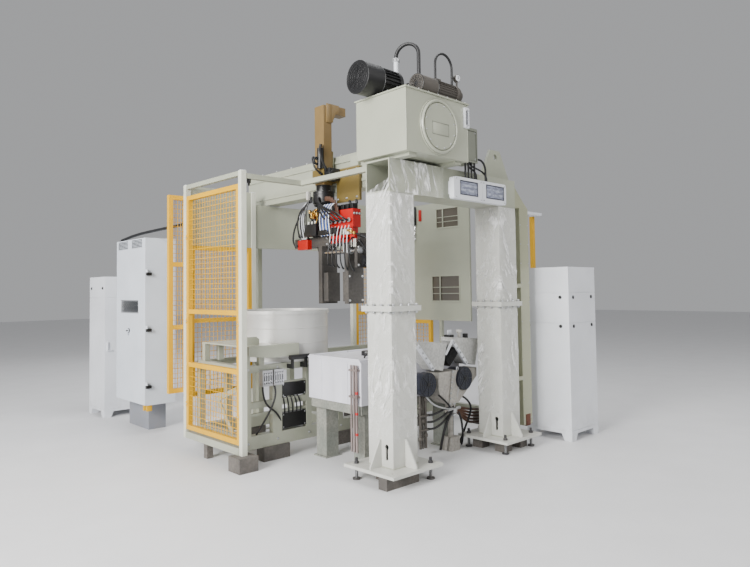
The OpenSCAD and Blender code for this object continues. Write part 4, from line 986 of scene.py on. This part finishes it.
# %% Furnace
furnace_bits = [block((-42, 345, 905), (1256, 352, 918), 2), block((-42, 1022, 905), (1256, 1030, 918), 2)]
furnace_bits += [block((-42, 346, 905), (-34, 1030, 918), 2)]
fit("lid_edge", furnace_bits, "furnace_paint")
handles = [hose([(x - 60, 480, 905), (x - 60, 480, 950), (x + 60, 480, 950), (x + 60, 480, 905)], 8)
    for x in (200, 1000)]
handles += [disc((x, 640, 925), "Z", 60, 42, 6, 32) for x in (330, 860)]
fit("lid_handles", handles, "motor_black")
fasten("lid_bolts", bolt, [(x, y, 905) for x in (0, 400, 800, 1210) for y in (375, 1000)], UP)
collars = [disc((-62, 361, z), "Z", 13, 22, 2, 16) for z in (300, 470, 640)]
fit("pipe_collars", collars, "red_paint")

# %% Melt group
MELT_FRONT = 330.7
fins = [block((-78, -56, -34), (78, 56, 34), 3)]
fins += [block((-78 + 13 * k - 2, -64, -44), (-78 + 13 * k + 2, 64, 44), 1) for k in range(13)]
for fin in fins:
    tilt(fin, (986, MELT_FRONT - 70, 868), math.radians(-42), "Y")
fit("cooling_fins", fins, "motor_black")
grilles = []
for x, z in ((609, 655), (1126, 656)):
    grilles += [ring((x, MELT_FRONT - 171, z), "Y", 108 * f, 2.4, 36) for f in (0.3, 0.52, 0.74, 0.96)]
    grilles += [disc((x, MELT_FRONT - 172, z), "Y", 18, 8, 2, 20)]
    for k in range(4):
        spoke = disc((0, 0, 0), "Z", 2.4, 206, 0.4, 6)
        grilles.append(tilt(spoke, (x, MELT_FRONT - 172, z), k * math.pi / 4, "Y"))
fit("blower_grilles", grilles, "motor_black")
pipes = [hose([(1010, 230, 440), (1010, 210, 400), (960, 190, 360), (900, 190, 300), (860, 210, 200),
    (850, 240, 30)], 12), hose([(1040, 230, 400), (1080, 190, 340), (1100, 180, 220), (1130, 200, 90),
    (1180, 260, 20)], 10), hose([(980, 230, 380), (930, 170, 420), (850, 160, 470), (780, 190, 540)], 9),
    hose([(1110, 215, 500), (1210, 172, 440), (1290, 200, 330), (1240, 260, 180), (1200, 300, 20)], 10)]
fit("melt_hoses", pipes, "black_rubber")
bundle = [hose([(1030, 212, 392 - 6 * k), (1120, 196, 380 - 22 * k), (1300, 250 + 6 * k, 330 - 34 * k),
    (1520, 290 + 6 * k, 300 - 30 * k), (1690, 200, 280 - 26 * k), (1718, 10, 290 - 26 * k)], 12)
    for k in range(5)]
fit("melt_cables", bundle, "black_rubber", BROWN)
stand = [disc((x, 290, 300), "Z", r, 472, 2, 20) for x, r in ((636, 12), (668, 9), (704, 14))]
stand += [disc((x, 290, z), "Z", 22, 30, 3, 8) for x, z in ((636, 430), (668, 310), (704, 500), (704, 180),
    (636, 150))]
stand += [disc((670, 262, z), "X", 10, 120, 2, 16) for z in (360, 232)]
fit("melt_stand_pipes", stand, "zinc_steel", SPECIAL["small_pump_motor"])
links = [hose([(704, 262, 360 - 60 * k), (800, 230, 350 - 70 * k), (900, 216, 420 - 60 * k),
    (984, 212, 394 - 20 * k)], 10) for k in range(3)]
fit("melt_links", links, "black_rubber")
pale = [hose([(1062, 196, 770), (1070, 170, 640), (1040, 176, 520), (1012, 200, 420)], 7),
    hose([(600, 190, 560), (640, 160, 480), (760, 150, 430), (900, 180, 400), (990, 210, 390)], 8)]
fit("melt_pipes", pale, "zinc_steel")
valves = [disc((1010, 210, z), "Z", r, h, 2, 8) for z, r, h in ((370, 34, 40), (330, 28, 18))]
valves += [disc((x, 205, 385), "X", 16, 70, 2, 12) for x in (960, 1060)]
fit("drain_valve", valves, "zinc_steel")
seam_bolts = [(957 - 46 * t, 168.7, 735 - 290 * t) for t in (k / 6 for k in range(7))]
fasten("seam_bolts", bolt, seam_bolts, TO_FRONT)
strap_bolts = [(513 + i * 479 - 6 + 204 * t, 181, 1035 + 12 * i - 32 - 230 * t) for i in (0, 1)
    for t in (0.08, 0.29, 0.5, 0.71, 0.92)]
fasten("strap_bolts", bolt, strap_bolts, TO_FRONT)
edges = []
for i in (0, 1):
    middle = (513 + 479 * i + 98, 184, 1035 + 12 * i - 146.5)
    edges.append(tilt(block((-155, -3, -17), (155, 26, 17), 3), middle, math.radians(48), "Y"))
edges.append(tilt(block((-83, -3, -7), (83, 20, 7), 2), (940, 184, 957), math.radians(-49), "Y"))
fit("strap_edges", edges, "white_paint")
heads = [disc((1180, 265, 1060), "Z", 16, 60, 3, 16), disc((1180, 265, 1092), "Z", 30, 26, 5, 24)]
fit("probe_heads", heads, "white_paint", PLUG)
base = [block((996, 232, 1038), (1062, 300, 1066), 3), disc((1268, 262, 1042), "Z", 26, 44, 4, 20)]
fit("probe_base", base, "motor_black")
fit("probe_plugs", [disc((1010 + 20 * k, 262, 1088), "Z", 7, 46, 2, 12) for k in range(3)], "white_paint")
fit("white_pipe", [hose([(1046, 196, 770), (1020, 186, 640), (1000, 196, 430)], 6)], "white_paint")

# %% [markdown]
# The bed gets the hoops of the drum and the water in it, screws and cables on its switch boxes, knobs
# on its valves and the bolts of its frame. The windows of the right guard get their trims.

# %% Bed
DRUM = (64, 1570)
hoops = [ring((*DRUM, z), "Z", 430, 4, 96) for z in (880, 1010, 1150)]
hoops += [ring((*DRUM, 1310), "Z", 436, 6, 96)]
fit("drum_hoops", hoops, "stainless")
water = disc((*DRUM, 1190), "Z", 421, 4, 0.5, 96)
pool = Finish("still_water")
pool.put(Base_Color=(0.05, 0.07, 0.065, 1), Roughness=0.04, Coat_Weight=1.0)
pool.put(Normal=pool.add("ShaderNodeBump", None, {"Height": pool.noise(6.0, 2.0), "Distance": 0.002,
    "Strength": 0.3}))
fit("drum_water", [water], "screen_glass", pool.material)
box_screws = [(x, 1173.7, z) for x in (-228, 12) for z in (552, 648, 268, 378)]
fasten("box_screws", small_bolt, box_screws, TO_FRONT)
runs = [hose([(-230 + 40 * k, 1180, 540), (-230 + 44 * k, 1150, 500), (-220 + 46 * k, 1160, 430),
    (-210 + 44 * k, 1180, 392)], 7) for k in range(5)]
runs += [hose([(-470, 1140, 664), (-480, 1120, 560), (-420, 1130, 460), (-300, 1160, 420), (-250, 1180, 320)],
    9), hose([(-350, 1140, 664), (-340, 1110, 600), (-380, 1110, 500), (-440, 1130, 380), (-500, 1200, 240)],
    9), hose([(100, 1165, 470), (200, 1140, 400), (340, 1150, 360), (400, 1180, 300), (410, 1230, 237)], 10)]
fit("bed_cables", runs, "black_rubber")
knobs = [disc((-487 + 120 * i + 15.5 + 24 * k, 1108, 734 + s * 30), "Y", 8, 8, 1, 12) for i in (0, 1)
    for k in range(4) for s in (-1, 1)]
fit("valve_knobs", knobs, "chrome_rod")
frame_bolts = [(x, 1170, z) for x in (-598, -293, 60, 450, 1030, 1530, 2032) for z in (180, 815)]
fasten("bed_bolts", bolt, frame_bolts, TO_FRONT)

# %% Window trims
trims = []
for y0, z0, y1, z1 in ((1020, 2227, 1354, 2450), (1018, 1356, 1434, 1650)):
    for x0, x1 in ((RIGHT - 17, RIGHT - 12), (RIGHT + 12, RIGHT + 17)):
        trims += [block((x0, y0 - 14, z0 - 14), (x1, y1 + 14, z0 + 4), 1.5), block((x0, y0 - 14, z1 - 4),
            (x1, y1 + 14, z1 + 14), 1.5), block((x0, y0 - 14, z0), (x1, y0 + 4, z1), 1.5),
            block((x0, y1 - 4, z0), (x1, y1 + 14, z1), 1.5)]
        trims.append(block((x0, y0 + (y1 - y0) * 0.7 - 9, z0), (x1, y0 + (y1 - y0) * 0.7 + 9, z1), 1.5))
        trims += [block((x0, y0, z0 + (z1 - z0) * t - 4), (x1, y1, z0 + (z1 - z0) * t + 4), 1)
            for t in (0.3, 0.55)]
fit("window_trims", trims, "cream_paint")

# %% [markdown]
# The right guard has the cylinder of its door, hung on two brackets, and a signal lamp beside it. A
# switch hangs at the front post of the left guard.

# %% Door cylinder
brackets = [block((2117, 1682, z), (2139, 1698, z + 18), 2) for z in (2150, 2480)]
fit("door_brackets", brackets, "zinc_steel")
fit("door_cylinder", [disc((2119, 1690, 2400), "Z", 18, 230, 3, 24)], "motor_black")
fit("door_rod", [disc((2119, 1690, 2200), "Z", 9, 190, 1, 16), disc((2119, 1690, 2112), "Z", 16, 24, 2, 12)],
    "chrome_rod")
fit("signal_lamp", [block((2112, 1590, 2330), (2138, 1622, 2470), 5)], "red_paint")
fit("tie_switch", [disc((-650, 1060, 2448), "Z", 17, 36, 3, 20), disc((-650, 1060, 2420), "Z", 8, 26, 2, 12)],
    "motor_black")

# %% [markdown]
# Behind the side cabinet a yellow guard tube stands with a white rail that leads to the trunk.

# %% Right wing
fit("wing_tube", [block((2279, 119, 0), (2321, 161, 2260), 3)], "safety_yellow")
fit("wing_rail", [block((1866, 30, 2262), (2321, 60, 2290), 3), block((2285, 61, 2262), (2315, 160, 2290),
    3)], "white_paint")

# %% Tidy up and finish
HEAVY = 60000
for pattern in (big_bolt, bolt, small_bolt):
    bpy.data.objects.remove(pattern)
for item in pieces:
    triangles = sum(len(face.vertices) - 2 for face in item.data.polygons)
    if triangles > HEAVY:
        print(item.name, "has", triangles, "triangles")
low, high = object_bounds()
print(len(pieces), "pieces added")
